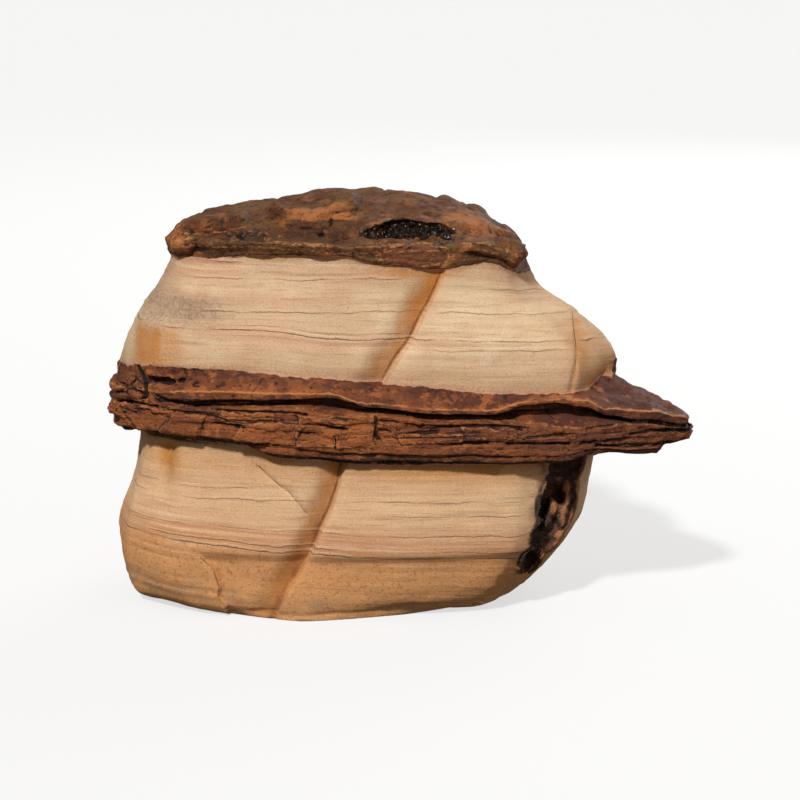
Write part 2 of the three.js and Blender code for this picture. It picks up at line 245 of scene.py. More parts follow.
def extruded_bed(name, rings):
    """A closed bed whose rings, from the lowest up, all have the same number of points."""
    count = len(rings[0])
    bpy.ops.object.select_all(action="DESELECT")
    bpy.ops.mesh.primitive_circle_add(vertices=count, radius=MM, fill_type="NGON")
    piece = bpy.context.object
    piece.name = name
    bpy.ops.object.mode_set(mode="EDIT")
    for _ in rings[1:]:
        bpy.ops.mesh.extrude_region_move(TRANSFORM_OT_translate={"value": (0, 0, MM)})
    bpy.ops.object.mode_set(mode="OBJECT")
    x, y, level = coordinates(piece).T
    turn = np.round(np.arctan2(y, x) / math.tau * count).astype(int) % count
    set_coordinates(piece, np.array(rings)[np.round(level).astype(int), turn])
    return piece


def ring_at(outline, height):
    """A ring of points from an outline in plan and a height, or a height for each point."""
    return np.column_stack([outline, np.broadcast_to(height, len(outline))])


# %% [markdown]
# ## The two sandstone blocks
# Each block is a stack of plans, with smooth ribs run up through them. Its lower right corner has broken
# away and left a deep hollow behind a thin, ragged edge. That hollow is cut with a few rough balls, because
# weather eats sandstone from the inside in just such rounded bites.

# %% Sandstone blocks
BLOCK_COLUMNS = 240
BLOCK_RINGS = 32


def sandstone_block(name, levels):
    knots = [ring_at(round_plan(plan, BLOCK_COLUMNS), z) for z, plan in levels]
    rings = smooth_curve(knots, np.linspace(0, len(levels) - 1, BLOCK_RINGS), closed=False)
    return extruded_bed(name, rings)


lower_block = sandstone_block("lower sandstone", LOWER_BLOCK)
upper_block = sandstone_block("upper sandstone", UPPER_BLOCK)


# %% Rough balls, and cutting with them
def rough_ball(name, at, size, roughness, lumps=6, detail=5):
    """A ball stretched to its size, with its skin pushed in and out."""
    bpy.ops.object.select_all(action="DESELECT")
    bpy.ops.mesh.primitive_ico_sphere_add(subdivisions=detail, radius=MM)
    ball = bpy.context.object
    ball.name = name
    out = coordinates(ball)
    points = out * size + at
    set_coordinates(ball, points + out * (roughness * rough(points, lumps, 3))[:, None])
    return ball


def cut_away(piece, cutters):
    """Cut each rough ball out of a piece, and clear it away."""
    for cutter in cutters:
        bpy.ops.object.select_all(action="DESELECT")
        bpy.context.view_layer.objects.active = piece
        cut = piece.modifiers.new(cutter.name, "BOOLEAN")
        cut.operation = "DIFFERENCE"
        cut.solver = "MANIFOLD"
        cut.object = cutter
        bpy.ops.object.modifier_apply(modifier=cut.name)
        bpy.data.objects.remove(cutter)


def inside_bites(points, bites, grow):
    """1 inside rough balls that are grown a little, and more towards the back, easing to 0 outside them."""
    best = np.full(len(points), 9.0)
    for at, size, _ in bites:
        reach = (np.array(size) + grow) * (1, 1.4, 1)
        best = np.minimum(best, np.sqrt(np.sum(((points - at) / reach)**2, axis=1)))
    return 1 - ease(best, 0.97, 1.07)


# the hollow's bites: middle, size and roughness
BITES = [((55.5, -36, 38), (8.6, 12, 12), 1.1), ((58, -33, 52), (8.6, 12, 8), 1.0),
         ((50.2, -38, 26), (5, 9, 9), 0.9), ((44.8, -36, 17), (3.2, 9, 6), 0.6)]

cut_away(lower_block, [rough_ball(f"bite {number}", *bite, lumps=3) for number, bite in enumerate(BITES)])
inner_lumps = [rough_ball("ridge in the hollow", at, size, 0.7, lumps=4)
               for at, size in [((49.5, -29, 31), (2.2, 4, 3.6)), ((51.5, -28, 35.5), (2.6, 4, 3.4)),
                                ((55, -26.5, 33), (2.6, 4, 4.6)), ((56.5, -26, 40), (2, 4, 5))]]
print("lower block has", len(lower_block.data.vertices), "points")

# %% [markdown]
# ## The ledge
# The ironstone splits into plates along its bedding. The lower plates form a stack with broken edges: each
# plate's edge runs straight for a while and then steps in or out where a flake has gone. Above an open split
# lies one plate with a thin front lip, which slopes up to the foot of the upper sandstone.

# %% Ledge plates
LEDGE_COLUMNS = 560
SPLIT_GAP = 1.4
SPLIT_REACH = 11

# share of the stack's height where each plate starts and ends, its set-back, its raggedness, its runs
PLATES = [
    (0.00, 0.12, 4.5, 1.2, 40),
    (0.10, 0.26, 1.6, 0.9, 30),
    (0.25, 0.44, 0.4, 0.5, 22),
    (0.43, 0.60, 0.6, 0.5, 20),
    (0.59, 0.76, 0.2, 0.6, 24),
    (0.75, 0.88, 0.8, 0.6, 30),
    (0.87, 1.00, 0.6, 0.8, 34),
]

# how much further the lowest plates are set back at the left end
LEFT_STEP = 4

ledge_outline = round_plan(LEDGE_PLAN, LEDGE_COLUMNS)
around = np.arange(LEDGE_COLUMNS) / LEDGE_COLUMNS


def bedding_wave(x, y):
    """How far the beds rise or fall away from the front."""
    return noise(np.column_stack([x, y, 0 * x]), 55) * 1.6 * ease(y, -40, 30)


def plate(name, back, rings):
    """A plate from its outline's set-back and its rings of (further set-back, height at x and y)."""
    made = []
    for further, height in rings:
        outline = pulled_in(ledge_outline, back + further)
        made.append(ring_at(outline, height(*outline.T) + bedding_wave(*outline.T)))
    return extruded_bed(name, made)


def stack_height(share, sink=0):
    def height(x, y):
        low, high = along(LEDGE_BOTTOM, x), along(PLATES_TOP, x)
        points = np.column_stack([x, y, 0 * x + share * 50])
        return low + (high - low) * share + 0.5 * noise(points, 11) - sink
    return height


def split_height(down=0):
    return lambda x, y: along(SPLIT, x) - down


plates = []
for number, (start, end, set_back, ragged, runs) in enumerate(PLATES):
    back = set_back + ragged * runs_of_chance(around, runs, 40 + number)
    back = back + 0.3 * noise(ring_at(ledge_outline, number * 9), 3)
    back = back + LEFT_STEP * max(0, 1 - 4 * start) * (1 - ease(ledge_outline[:, 0], -54, -38))
    last = end == 1
    plates.append(plate(f"ledge plate {number}", back, [
        (40, lambda x, y: 50 + 0 * x),
        (SPLIT_REACH, stack_height(start, sink=0 if number == 0 else 1.5)),
        (0.6, stack_height(start)),
        (0, stack_height(start + 0.02)),
        (0, stack_height(end - 0.02)),
        (0.6, stack_height(end)),
        (SPLIT_REACH, split_height(SPLIT_GAP) if last else stack_height(end)),
        (40, lambda x, y: 66 + 0 * x),
    ]))

upper_back = 1.2 + 0.7 * runs_of_chance(around, 46, 77) + 0.5 * noise(ring_at(ledge_outline, 0), 5)


# how high the upper plate climbs inside the upper block, and less at the tongue
UNDER_BLOCK = [(38, 88), (62, 78)]


def between(a, b, share):
    return lambda x, y: along(a, x) * (1 - share) + along(b, x) * share


plates.append(plate("upper plate", upper_back, [
    (40, lambda x, y: 82 + 0 * x),
    (SPLIT_REACH, split_height()),
    (1.0, split_height()),
    (0.1, between(SPLIT, LIP, 0.2)),
    (0.2, between(SPLIT, LIP, 0.6)),
    (0, between(SPLIT, LIP, 0.95)),
    (0.4, between(SPLIT, LIP, 1.03)),
    (3, between(LIP, LEDGE_TOP, 0.4)),
    (6, between(LIP, LEDGE_TOP, 1)),
    (20, lambda x, y: along(LEDGE_TOP, x) + along([(50, 1.2), (74, 0.3)], x)),
    (40, lambda x, y: along(UNDER_BLOCK, x)),
]))
plates.append(plate("ledge core", 0, [
    (45, lambda x, y: 45 + 0 * x),
    (30, lambda x, y: along(LEDGE_BOTTOM, x) + 1.5),
    (SPLIT_REACH - 1, lambda x, y: along(LEDGE_BOTTOM, x) + 3),
    (SPLIT_REACH - 1, lambda x, y: along(LIP, x) - 1),
    (45, lambda x, y: 92 + 0 * x),
]))
print("the ledge is made of", len(plates), "overlapping pieces")

# %% [markdown]
# ## The cap
# The crust on top climbs from a rim at the front to a ridge behind the middle. Behind the rim runs a
# channel, and a smooth orange lump overhangs it. To the right a cavity opens, lined with round black
# bubbles, where the ironstone grew into an empty space as drops of solution dried.

# %% Cap
CAP_COLUMNS = 360
CAP_MIDDLE = np.array([-18, 0])


def mound(x, y, at, size, height):
    """A smooth hill, or a dip where height is negative."""
    return height * np.exp(-(((x - at[0]) / size[0])**2 + ((y - at[1]) / size[1])**2))


def scarp(x, y, line, height, fade):
    """A sharp step up behind a line of (x, y) corners, which dies away over fade mm behind it."""
    behind = y - along(line, x) + 0.8 * noise(np.column_stack([x, y, 0 * x]), 4, 71)
    ends = ease(x, line[0][0], line[0][0] + 4) * (1 - ease(x, line[-1][0] - 4, line[-1][0]))
    return height * ends * ease(behind, 0, SCARP_FOOT) * (1 - ease(behind, 2, fade))


SCARP_FOOT = 1.2
LEFT_SCARP = [(-75, -18), (-66, -22), (-58, -21), (-49, -18)]
LUMP_SCARP = [(-45, -14), (-36, -20), (-28, -22), (-20, -19), (-12, -17)]
RIGHT_SCARP = [(16, -29), (26, -24), (36, -16), (46, -10)]


def cap_top(x, y):
    rim, ridge = along(CAP_RIM, x), along(CAP_RIDGE, x)
    quick = ease(x, -24, -8)
    slow_climb, quick_climb = ease(y, -36, 2), np.sin(np.clip((y + 39) / 40, 0, 1) * math.pi / 2)
    climb = np.where(y < 4, slow_climb + (quick_climb - slow_climb) * quick, 1 - 0.8 * ease(y, 10, 36))
    top = rim + (ridge - rim) * climb
    top += mound(x, y, (-44, -31), (28, 3.2), -1.7)
    top += scarp(x, y, LEFT_SCARP, 3.2, 16)
    top += scarp(x, y, LUMP_SCARP, 4.2, 18)
    top += scarp(x, y, RIGHT_SCARP, 2.0, 12)
    top += mound(x, y, (31, -25), (8, 4), -1.5)
    points = np.column_stack([x, y, 0 * x])
    return top + 0.7 * noise(points, 9, 72) + 0.45 * noise(points, 4, 73)


cap_outline = pulled_in(round_plan(CAP_PLAN, CAP_COLUMNS),
                        1.0 * noise(ring_at(round_plan(CAP_PLAN, CAP_COLUMNS), 5), 9))
cap_rings = []
for back, share in [(12, -1), (1.6, 0), (0.8, 0.2), (1.3, 0.35), (0.7, 0.6), (0.2, 0.8), (0, 0.96), (1.2, 1)]:
    outline = pulled_in(cap_outline, back)
    foot = along(CAP_FOOT, outline[:, 0]) + 0.5 * noise(ring_at(outline, 1), 8)
    cap_rings.append(ring_at(outline, foot + (cap_top(*outline.T) - foot) * share))
for share in np.linspace(0.95, 0.03, 44):
    outline = CAP_MIDDLE + (cap_outline - CAP_MIDDLE) * share
    cap_rings.append(ring_at(outline, cap_top(*outline.T)))
cap = extruded_bed("ironstone cap", cap_rings)

# the cavity's bites: middle, size and roughness
CAVITY = [((3, -29.8, 130.4), (10.5, 7, 5), 0.7), ((-5, -32, 129.8), (7, 4.6, 3.4), 0.5),
          ((12, -29, 130.2), (5.5, 5.5, 4.2), 0.7)]
cut_away(cap, [rough_ball(f"cavity {number}", *bite, lumps=4) for number, bite in enumerate(CAVITY)])
cut_away(cap, [
    rough_ball("scoop", (5.4, -43.4, 125.2), (14, 4.4, 6.0), 0.15),
    rough_ball("small hollow", (12, -18, 134.5), (4, 3, 2.2), 0.6, detail=4),
    rough_ball("small hole", (-7.3, -27.5, 132.7), (0.9, 0.9, 2), 0.1, detail=3),
])
orange_lump = rough_ball("orange lump", (-28, -12.5, 131.8), (13, 7, 4.2), 1.2, lumps=6)
shoulder = rough_ball("right shoulder", (36, -20, 121.5), (8, 8, 5), 1.4)
knob = rough_ball("left knob", (-69.8, -24.2, 125), (6, 5, 3.6), 0.5)

# %% Bubbles in the cavity
BUBBLE_CLUSTERS = [(1, -26.5, 3.5), (6.5, -26.5, 3.5), (13.5, -29, 3.5), (5, -33.5, 10), (-46, -25.5, 4),
                   (-52, -25, 4)]

BUBBLES_EACH = 10

bubbles = []
for cluster, (middle_x, middle_y, spread) in enumerate(BUBBLE_CLUSTERS):
    for number in range(BUBBLES_EACH):
        across, deep, big = (fixed_chance(np.array([number]), seed=3 * cluster + s)[0] for s in (3, 4, 5))
        x, y = middle_x + spread * across, middle_y + 2.6 * deep
        ground = cap_top(np.array([x]), np.array([y]))[0]
        drops = [size[2] * math.sqrt(max(0, 1 - ((x - at[0]) / size[0])**2 - ((y - at[1]) / size[1])**2))
                 - at[2] + ground for at, size, _ in CAVITY]
        depth = max(0, *drops)
        bubbles.append(rough_ball("bubble", (x, y, ground - depth), [1.0 + 0.3 * big] * 3, 0.05, detail=3))
small_ball = rough_ball("orange ball", (-25.5, -27, 129.3), (1.1, 1.1, 1.1), 0.1, detail=3)
print(len(bubbles), "bubbles line the cavity")

# %% [markdown]
# ## Fusing the beds
# All the shapes are joined into one object, and a voxel remesh gives them a single skin: everything inside
# disappears, and the points end up evenly spread, half a millimetre apart. That is fine enough to carve.

# %% Fuse
VOXEL = 0.5

bpy.ops.object.select_all(action="DESELECT")
for part in [lower_block, upper_block, *inner_lumps, cap, orange_lump, shoulder, knob, small_ball, *plates,
             *bubbles]:
    part.select_set(True)
bpy.context.view_layer.objects.active = lower_block
bpy.ops.object.join()
rock = lower_block
rock.name = "carved_rock"
rock.data.name = "carved_rock"
rock.data.remesh_voxel_size = VOXEL * MM
bpy.ops.object.voxel_remesh()
print("the fused skin has", len(rock.data.vertices), "points")


# %% [markdown]
# ## Lines on the faces
# Joints, cracks and scars are drawn as lines across a face. For each point of the mesh the nearest place on
# such a line is found, as seen from the front, with the side of the line that the point is on. A groove or a
# step then follows the line, whatever the face does behind it.

# %% Distance from a line
def from_line(line, x, z):
    """The signed distance of each point from a line of (x, z) corners: positive on its right hand."""
    best = np.full(len(x), 1e9)
    side = np.ones(len(x))
    for (x0, z0), (x1, z1) in zip(line, line[1:]):
        dx, dz = x1 - x0, z1 - z0
        t = np.clip(((x - x0) * dx + (z - z0) * dz) / (dx * dx + dz * dz), 0, 1)
        away = np.hypot(x - x0 - dx * t, z - z0 - dz * t)
        nearer = away < best
        best = np.where(nearer, away, best)
        side = np.where(nearer, np.sign((x - x0) * dz - (z - z0) * dx), side)
    return best * side


# %% Joints, cracks and slabs
UPPER_JOINT = [(-7, 78), (-5.5, 81), (0.2, 90.5), (4, 96.4), (9.1, 105.6), (13.7, 115.4), (16, 120)]
LOWER_JOINT = [(-43, -3), (-41, 3), (-38, 10), (-33, 17), (-28, 27), (-22.4, 40), (-18.3, 54), (-16, 60)]
RIGHT_JOINT = [(56, 75), (57.3, 82), (58.6, 90), (58.4, 100)]
LEFT_JOINT = [(-82, 30), (-80, 44), (-77.5, 58)]
TERRACE = [(22.5, 125.4), (28, 124), (35.5, 121)]
CRACK = [(-46, 53), (-41.5, 48.8), (-35.6, 44.5), (-30.4, 37.6)]
SCAR = [(-66, 21.5), (-61.6, 17.5), (-59.8, 11.5), (-60.4, 7.5), (-58, 3.5)]

# cracks in the front of the ledge: the line, its half width and its depth
LEDGE_CRACKS = [
    ([(-80, 76.5), (-74, 74.5), (-60, 73.2), (-39, 73), (-30, 72.6)], 0.4, 1.0),
    ([(-77, 72), (-63, 71.5), (-56, 70), (-39.5, 70)], 0.3, 0.8),
    ([(-60, 68.7), (-50, 68)], 0.3, 0.6),
    ([(-50, 62), (-39, 62.2)], 0.3, 0.6),
    ([(-30.5, 69.5), (-23, 69)], 0.25, 0.5),
    ([(-32, 67), (-26.5, 66.5)], 0.25, 0.5),
    ([(-22, 68.4), (-16.5, 68.1)], 0.5, 1.0),
    ([(-20, 71.4), (-16.5, 71.2)], 0.6, 1.0),
    ([(-7.6, 72), (-7.2, 66), (-6, 64.5)], 0.35, 0.9),
    ([(-20.5, 65.5), (-20.3, 61.5)], 0.2, 0.4),
    ([(-6, 70.6), (-0.5, 70.4)], 0.35, 0.7),
    ([(-6, 67.5), (-3, 67.3)], 0.4, 0.7),
    ([(3, 66.5), (12.5, 67)], 0.4, 0.8),
    ([(8, 69.2), (15.5, 68.6), (33, 68.8), (40, 68.2)], 0.35, 1.0),
    ([(18, 63), (29.5, 63.5)], 0.35, 0.7),
    ([(-1, 64.8), (14, 65.2), (26, 65.8)], 0.2, 0.4),
    ([(61.5, 67), (70.5, 67.4)], 0.3, 0.8),
    ([(42, 65), (57, 65.6)], 0.3, 0.6),
    ([(36, 63), (44.5, 62.5), (55.5, 62.6)], 0.3, 0.7),
    ([(59.5, 62), (64, 62.5)], 0.5, 0.8),
    ([(65, 61), (75.5, 60.5), (90, 59.3)], 0.5, 1.8),
    ([(76, 64.2), (84, 64.6), (91, 63.6), (97, 63)], 0.35, 0.9),
    ([(-95, 72), (-88, 70.5), (-82, 71)], 0.4, 1.0),
    ([(-93, 77), (-85, 76.2)], 0.5, 1.2),
    ([(-86, 84), (-83.8, 80.5), (-83.3, 76), (-85.5, 72.5)], 1.0, 2.4),
    ([(-98, 72.5), (-91, 75), (-87, 80)], 0.4, 1.2),
    ([(-92, 68), (-88, 64.5)], 0.3, 0.9),
]

# slabs that stand proud on it: middle, half width and height, slant and thickness
SLABS = [
    ((-71, 67.2), (6.5, 4.2), -0.5, 0.7), ((-49, 71.5), (8.5, 1.3), -0.4, 0.5), ((-42, 66), (10.5, 3.6), -0.5, 0.8),
    ((-20, 67), (12.6, 5.2), 0.0, 0.7), ((-13.5, 63.6), (6.6, 2.4), 0.0, 0.3), ((10, 64.5), (10, 1.6), 0.4, 0.5),
    ((30, 66.4), (9, 1.7), 0.3, 0.5), ((-59, 75), (11, 0.9), 0.0, 0.4),
]
# holes in the upper plate's left end: middle, half width and height, and depth
HOLES = [((-78.5, 81.2), (6, 1.3), 2.6), ((-70.5, 81.6), (1.6, 0.8), 1.4), ((-66, 81), (1.5, 0.9), 0.8)]

# %% [markdown]
# ## Carving the skin
# The carving is a sum of small moves along the skin's normal, in millimetres. The sandstone gets gentle
# swells, fine level ribs and the grooves of its joints. The ironstone gets flakes that follow its bedding,
# and the cap a knobbly crust.

# %% Carve
def normals_of(piece):
    flat = np.empty(len(piece.data.vertices) * 3)
    piece.data.vertices.foreach_get("normal", flat)
    return flat.reshape(-1, 3)


def beds_at(points):
    """For each point: how far it is inside the ironstone, in mm, and its height in the sandstone's beds."""
    x, y, z = points.T
    wave = bedding_wave(x, y)
    tongue = 5 * ease(x, 62, 69) * ease(-y, -4, 14) + 5 * ease(x, 71.5, 74)
    in_ledge = np.minimum(z - along(LEDGE_BOTTOM, x) - wave, along(LEDGE_TOP, x) + 0.3 + wave + tongue - z)
    in_cap = z - along(CAP_FOOT, x) + 0.3
    iron = np.maximum(in_ledge, in_cap)
    upper_dip = along([(-46, 3), (-18, 0)], x) * (1 - ease(z, 99, 104))
    lower_dip = along([(-97, 6.5), (-30, 2), (0, 0), (60, -0.5)], x) * (1 - ease(z, 25, 42))
    towards_back = 0.14 * np.clip(y + 44, 0, 45) * ease(x, 10, 40)
    height = z + towards_back - np.where(z > 68, upper_dip, lower_dip) + 0.4 * noise(points, (30, 30, 14), 9)
    return iron, height


def outside_slab(points, at, half, slant):
    """How far outside a slab's ragged outline each point is, in mm, or inside where negative."""
    across = points[:, 0] - at[0] + 1.5 * noise(points, 5, 27) + 0.5 * noise(points, 1.4, 28)
    up = points[:, 2] - at[1] + 0.8 * noise(points, 4, 29) + 0.25 * noise(points, 1.4, 30)
    return np.maximum(np.abs(across + slant * up) - half[0], np.abs(up) - half[1])


points = coordinates(rock)
normal = normals_of(rock)
x, y, z = points.T
iron, height = beds_at(points)
sand = 1 - ease(iron, -0.4, 0.4)
in_cap = ease(z, 116, 120) * (1 - sand)
in_ledge = (1 - sand) * (1 - in_cap)
front = ease(-normal[:, 1], 0.2, 0.5) * ease(-y, 10, 20)
rear = ease(normal[:, 1], 0.2, 0.5) * ease(y, 10, 20)

# the sandstone's swells and level ribs
level = np.column_stack([x, y, height])
move = sand * (1.0 * noise(points, 34, 1) + 0.5 * noise(points, 13, 2) + 0.15 * noise(points, 4, 3))
ribs = 0.30 * noise(level, (70, 70, 1.7), 4) + 0.16 * noise(level, (40, 40, 0.8), 5)
move += sand * ribs * (0.6 + 0.4 * noise(points, 20, 6))

# the joints: a long slope from the left, and a sharp rise to the right
for line, left, right, deep in [
        (UPPER_JOINT, 13, 1.1, 4.6), (LOWER_JOINT, 11, 1.2, 4.6), (RIGHT_JOINT, 1.2, 1.6, 0.6)]:
    away = from_line(line, x + 0.5 * noise(points, 8, 7), z)
    groove = np.where(away < 0, (1 - ease(-away, 0, left))**1.6, 1 - ease(away, 0, right))
    move -= sand * front * deep * groove * (1 - 0.6 * ease(z, 104, 116)) * (0.3 + 0.7 * ease(z, 0, 18))
away = from_line(LEFT_JOINT, x, z)
move -= sand * front * 2.2 * np.where(away < 0, 1 - ease(-away, 0, 4), 1 - ease(away, 0, 5)) * ease(z, 38, 52)
for line in (UPPER_JOINT, LOWER_JOINT):
    away = from_line(line, x + 1.5 * noise(points, 10, 8), z)
    move -= sand * rear * 3.0 * np.where(away < 0, 1 - ease(-away, 0, 3), 1 - ease(away, 0, 7))

# the crack and the scar on the lower block
move -= sand * front * 0.5 * (1 - ease(np.abs(from_line(CRACK, x, z)), 0.2, 0.9))
beside_scar = from_line(SCAR, x, z)
move -= sand * front * 1.8 * (1 - ease(beside_scar, -1.0, 0.2)) * ease(x, -78, -68) * (1 - ease(z, 20, 24))

# the ledge's slabs, cracks and holes, and its fine flakes
on_tongue = ease(x, 62, 72) * ease(z - along(LIP, x), 0, 1.5)
move += in_ledge * (0.25 * rough(points, (14, 14, 4), 3, 11) + 0.12 * rough(points, (4, 4, 1.3), 2, 15))
move -= in_ledge * 0.2 * (1 - creases(points, (14, 14, 2.6), 21))
on_left = 1 - ease(x, -88, -78)
broken = 1.5 * terraced(points, (9, 9, 7), 2.5, 18) + 0.6 * terraced(points, 3.5, 2, 19)
move += in_ledge * on_left * broken
move += in_ledge * on_tongue * 0.6 * (broken + 0.6 * rough(points, 2.5, 2, 17))
ragged_x = x + 0.9 * noise(points, 3, 22) + 0.4 * noise(points, 1.2, 23)
ragged_z = z + 0.35 * noise(points, 2.5, 24)
for (at_x, at_z), half, slant, thick in SLABS:
    outside = outside_slab(points, (at_x, at_z), half, slant)
    move += in_ledge * front * thick * (1 - ease(outside, -0.3, 0.2))
ledge_crack = np.zeros(len(points))
for line, wide, deep in LEDGE_CRACKS:
    near = 1 - ease(np.abs(from_line(line, ragged_x, ragged_z)), 0.7 * wide, wide + 0.35)
    ledge_crack = np.maximum(ledge_crack, near * deep)
for (at_x, at_z), (wide, tall), deep in HOLES:
    inside = ((ragged_x - at_x) / wide)**2 + ((ragged_z - at_z) / tall)**2
    ledge_crack = np.maximum(ledge_crack, deep * (1 - ease(inside, 0.6, 1.2)))
ledge_crack = ledge_crack * in_ledge * front
move -= ledge_crack

# the cap: broad lumps, fine sheets on its rim's face, and creases
rim_face = in_cap * (1 - ease(z - along(CAP_RIM, x), -2, 0.5)) * ease(np.hypot(x + 18, y * 1.5), 40, 46)
move += in_cap * (0.4 * rough(points, 8, 3, 31) + 0.15 * noise(points, 1.6, 36))
move += rim_face * 0.4 * noise(points, (16, 16, 1.6), 39)
move -= in_cap * 0.7 * (1 - creases(points, (9, 9, 6), 37)) * ease(noise(points, 22, 38), -0.2, 0.3)
move += in_cap * front * 0.9 * (1 - ease(np.abs(from_line(TERRACE, x, z)), 0.4, 1.6))
move += sand * (z < 60) * inside_bites(points, BITES, 1.5) * 0.5 * rough(points, (5, 5, 4), 3, 41)

move *= ease(z, 0.1, 1.4)
carved = points + normal * move[:, None]

# the grooves run on down through the foot: its edge steps back as far as the face just above it
places = np.arange(-96, 60, 0.5)
above_x, above_y = carved[(z > 1.4) & (z < 2.4) & (y < 0), :2].T
edge_y = [above_y[np.abs(above_x - place) < 0.6].min(initial=0) for place in places]
foot_edge = np.where((z < 1.4) & (y < 0) & (np.abs(x + 40) < 30), np.interp(x, places, edge_y), -90)
carved[:, 1] = np.maximum(carved[:, 1], foot_edge)
set_coordinates(rock, carved)
print("carved from", round(float(move.min()), 1), "to", round(float(move.max()), 1), "mm")

# %% [markdown]
# ## Thinning the mesh
# The carved skin has over half a million points. Where it is nearly flat most of them add nothing, so they
# are collapsed until the rock is under two hundred thousand triangles. It is then eased into the CAD box.

# %% Thin
MOST_TRIANGLES = 198_000
PLAIN_SHARE = 0.16


def count_triangles():
    return sum(len(face.vertices) - 2 for face in rock.data.polygons)


bpy.ops.object.select_all(action="DESELECT")
rock.select_set(True)
bpy.context.view_layer.objects.active = rock
triangulate = rock.modifiers.new("triangles", "TRIANGULATE")
bpy.ops.object.modifier_apply(modifier=triangulate.name)
corners = np.empty(len(rock.data.polygons) * 3, int)
rock.data.polygons.foreach_get("vertices", corners)
plain = np.all((sand > 0.5)[corners.reshape(-1, 3)], axis=1)
print(len(plain), "triangles,", int(plain.sum()), "of them plain sandstone")

bpy.ops.object.mode_set(mode="EDIT")
bpy.ops.mesh.select_mode(type="FACE")
bpy.ops.mesh.select_all(action="DESELECT")
bpy.ops.object.mode_set(mode="OBJECT")
rock.data.polygons.foreach_set("select", plain)
bpy.ops.object.mode_set(mode="EDIT")
bpy.ops.mesh.decimate(ratio=PLAIN_SHARE)
bpy.ops.object.mode_set(mode="OBJECT")
print("the plain sandstone thinned:", count_triangles(), "triangles")

thin = rock.modifiers.new("thin", "DECIMATE")
thin.ratio = min(1, MOST_TRIANGLES / count_triangles())
bpy.ops.object.modifier_apply(modifier=thin.name)

# %% Fit
points = coordinates(rock)
low, high = points.min(axis=0), points.max(axis=0)
points = cad_low + (points - low) * (cad_high - cad_low) / (high - low)
set_coordinates(rock, points)
bpy.ops.object.shade_smooth()
print(len(rock.data.polygons), "triangles; stretched by", np.round((cad_high - cad_low) / (high - low), 3))

# %% [markdown]
# ## What the finish needs to know
# The finish paints sandstone and ironstone by place. Each point of the mesh carries a few numbers for it: how
# far it lies inside the ironstone, its height in the beds, how sharp an edge or hollow it is on, how strongly
# it is stained, and where shade is painted on it. They travel with the mesh.

# %% Edges and hollows
def sharpness(piece, points, normal, rounds):
    """Positive on edges and negative in hollows: how far each point stands out from its neighbours."""
    edges = np.empty(len(piece.data.edges) * 2, int)
    piece.data.edges.foreach_get("vertices", edges)
    a, b = edges.reshape(-1, 2).T
    count = np.bincount(a, minlength=len(points)) + np.bincount(b, minlength=len(points))
    mean = points
    for _ in range(rounds):
        total = np.column_stack([
            np.bincount(a, mean[b, axis], len(points)) + np.bincount(b, mean[a, axis], len(points))
            for axis in range(3)])
        mean = 0.5 * mean + 0.5 * total / count[:, None]
    return np.sum((points - mean) * normal, axis=1)


normal = normals_of(rock)
fine_edge = sharpness(rock, points, normal, 4)
broad_edge = sharpness(rock, points, normal, 60)
print("fine edges", np.round(np.percentile(fine_edge, [2, 50, 98]), 2),
      "broad edges", np.round(np.percentile(broad_edge, [2, 50, 98]), 2))


# %% Attributes
def give(name, values):
    attribute = rock.data.attributes.new(name, "FLOAT", "POINT")
    attribute.data.foreach_set("value", np.ascontiguousarray(values, np.float32))


def patch(x, z, at, size):
    """1 in the middle of an oval patch on a face and 0 outside it."""
    return np.exp(-((x - at[0]) / size[0])**2 - ((z - at[1]) / size[1])**2)


def nearest(distances):
    """Of several signed distances, the one nearest to 0 at each point."""
    stack = np.array(list(distances))
    return np.take_along_axis(stack, np.abs(stack).argmin(axis=0)[None], axis=0)[0]


def row(at, middle, half):
    """1 along a level or a place and 0 away from it."""
    return np.exp(-((at - middle) / half)**2)


x, y, z = points.T
iron, height = beds_at(points)
on_cap = ease(z, 112, 117)
on_ledge = (iron > 0) * (1 - on_cap)
front = ease(-normal[:, 1], 0.0, 0.4) * ease(-y, 5, 15)

# brown stains that fade to the left of the joints, and painted shade in the sandstone's broad hollows
stain_and_hollow_shade = np.zeros(len(points))
for line, left, right, strength in [
        (UPPER_JOINT, 17, 0.8, 1.0), (LOWER_JOINT, 14, 2.0, 1.0), (RIGHT_JOINT, 1.5, 9, 0.5)]:
    away = from_line(line, x + 0.5 * noise(points, 8, 7), z)
    near = np.where(away < 0, 1 - ease(-away, -left, left), 0.5 - 0.5 * ease(away, 0, right)) * 2
    stain_and_hollow_shade = np.maximum(stain_and_hollow_shade, strength * np.clip(near, 0, 1)**1.3 * front)
stain_and_hollow_shade = np.maximum(stain_and_hollow_shade, 0.6 * patch(x, z, (-76, 54), (4, 8)) * front)
# painted shade: ochre-brown in the broad hollows of the sandstone's front
stain_and_hollow_shade = np.maximum(stain_and_hollow_shade, 0.5 * ease(-broad_edge, 0.3, 1.2) * (iron < 0) * front)
stain_and_hollow_shade = np.maximum(stain_and_hollow_shade, 0.7 * patch(x, z, (5, 117.5), (16, 2.6)) * front)
stain_and_hollow_shade = np.maximum(stain_and_hollow_shade, 1.2 * patch(x, z, (69, 80), (7, 4)) * (y < 5))
joint = nearest(from_line(line, x + 0.5 * noise(points, 8, 7), z) for line in (UPPER_JOINT, LOWER_JOINT))
joint = np.where(front > 0.3, joint, 30)
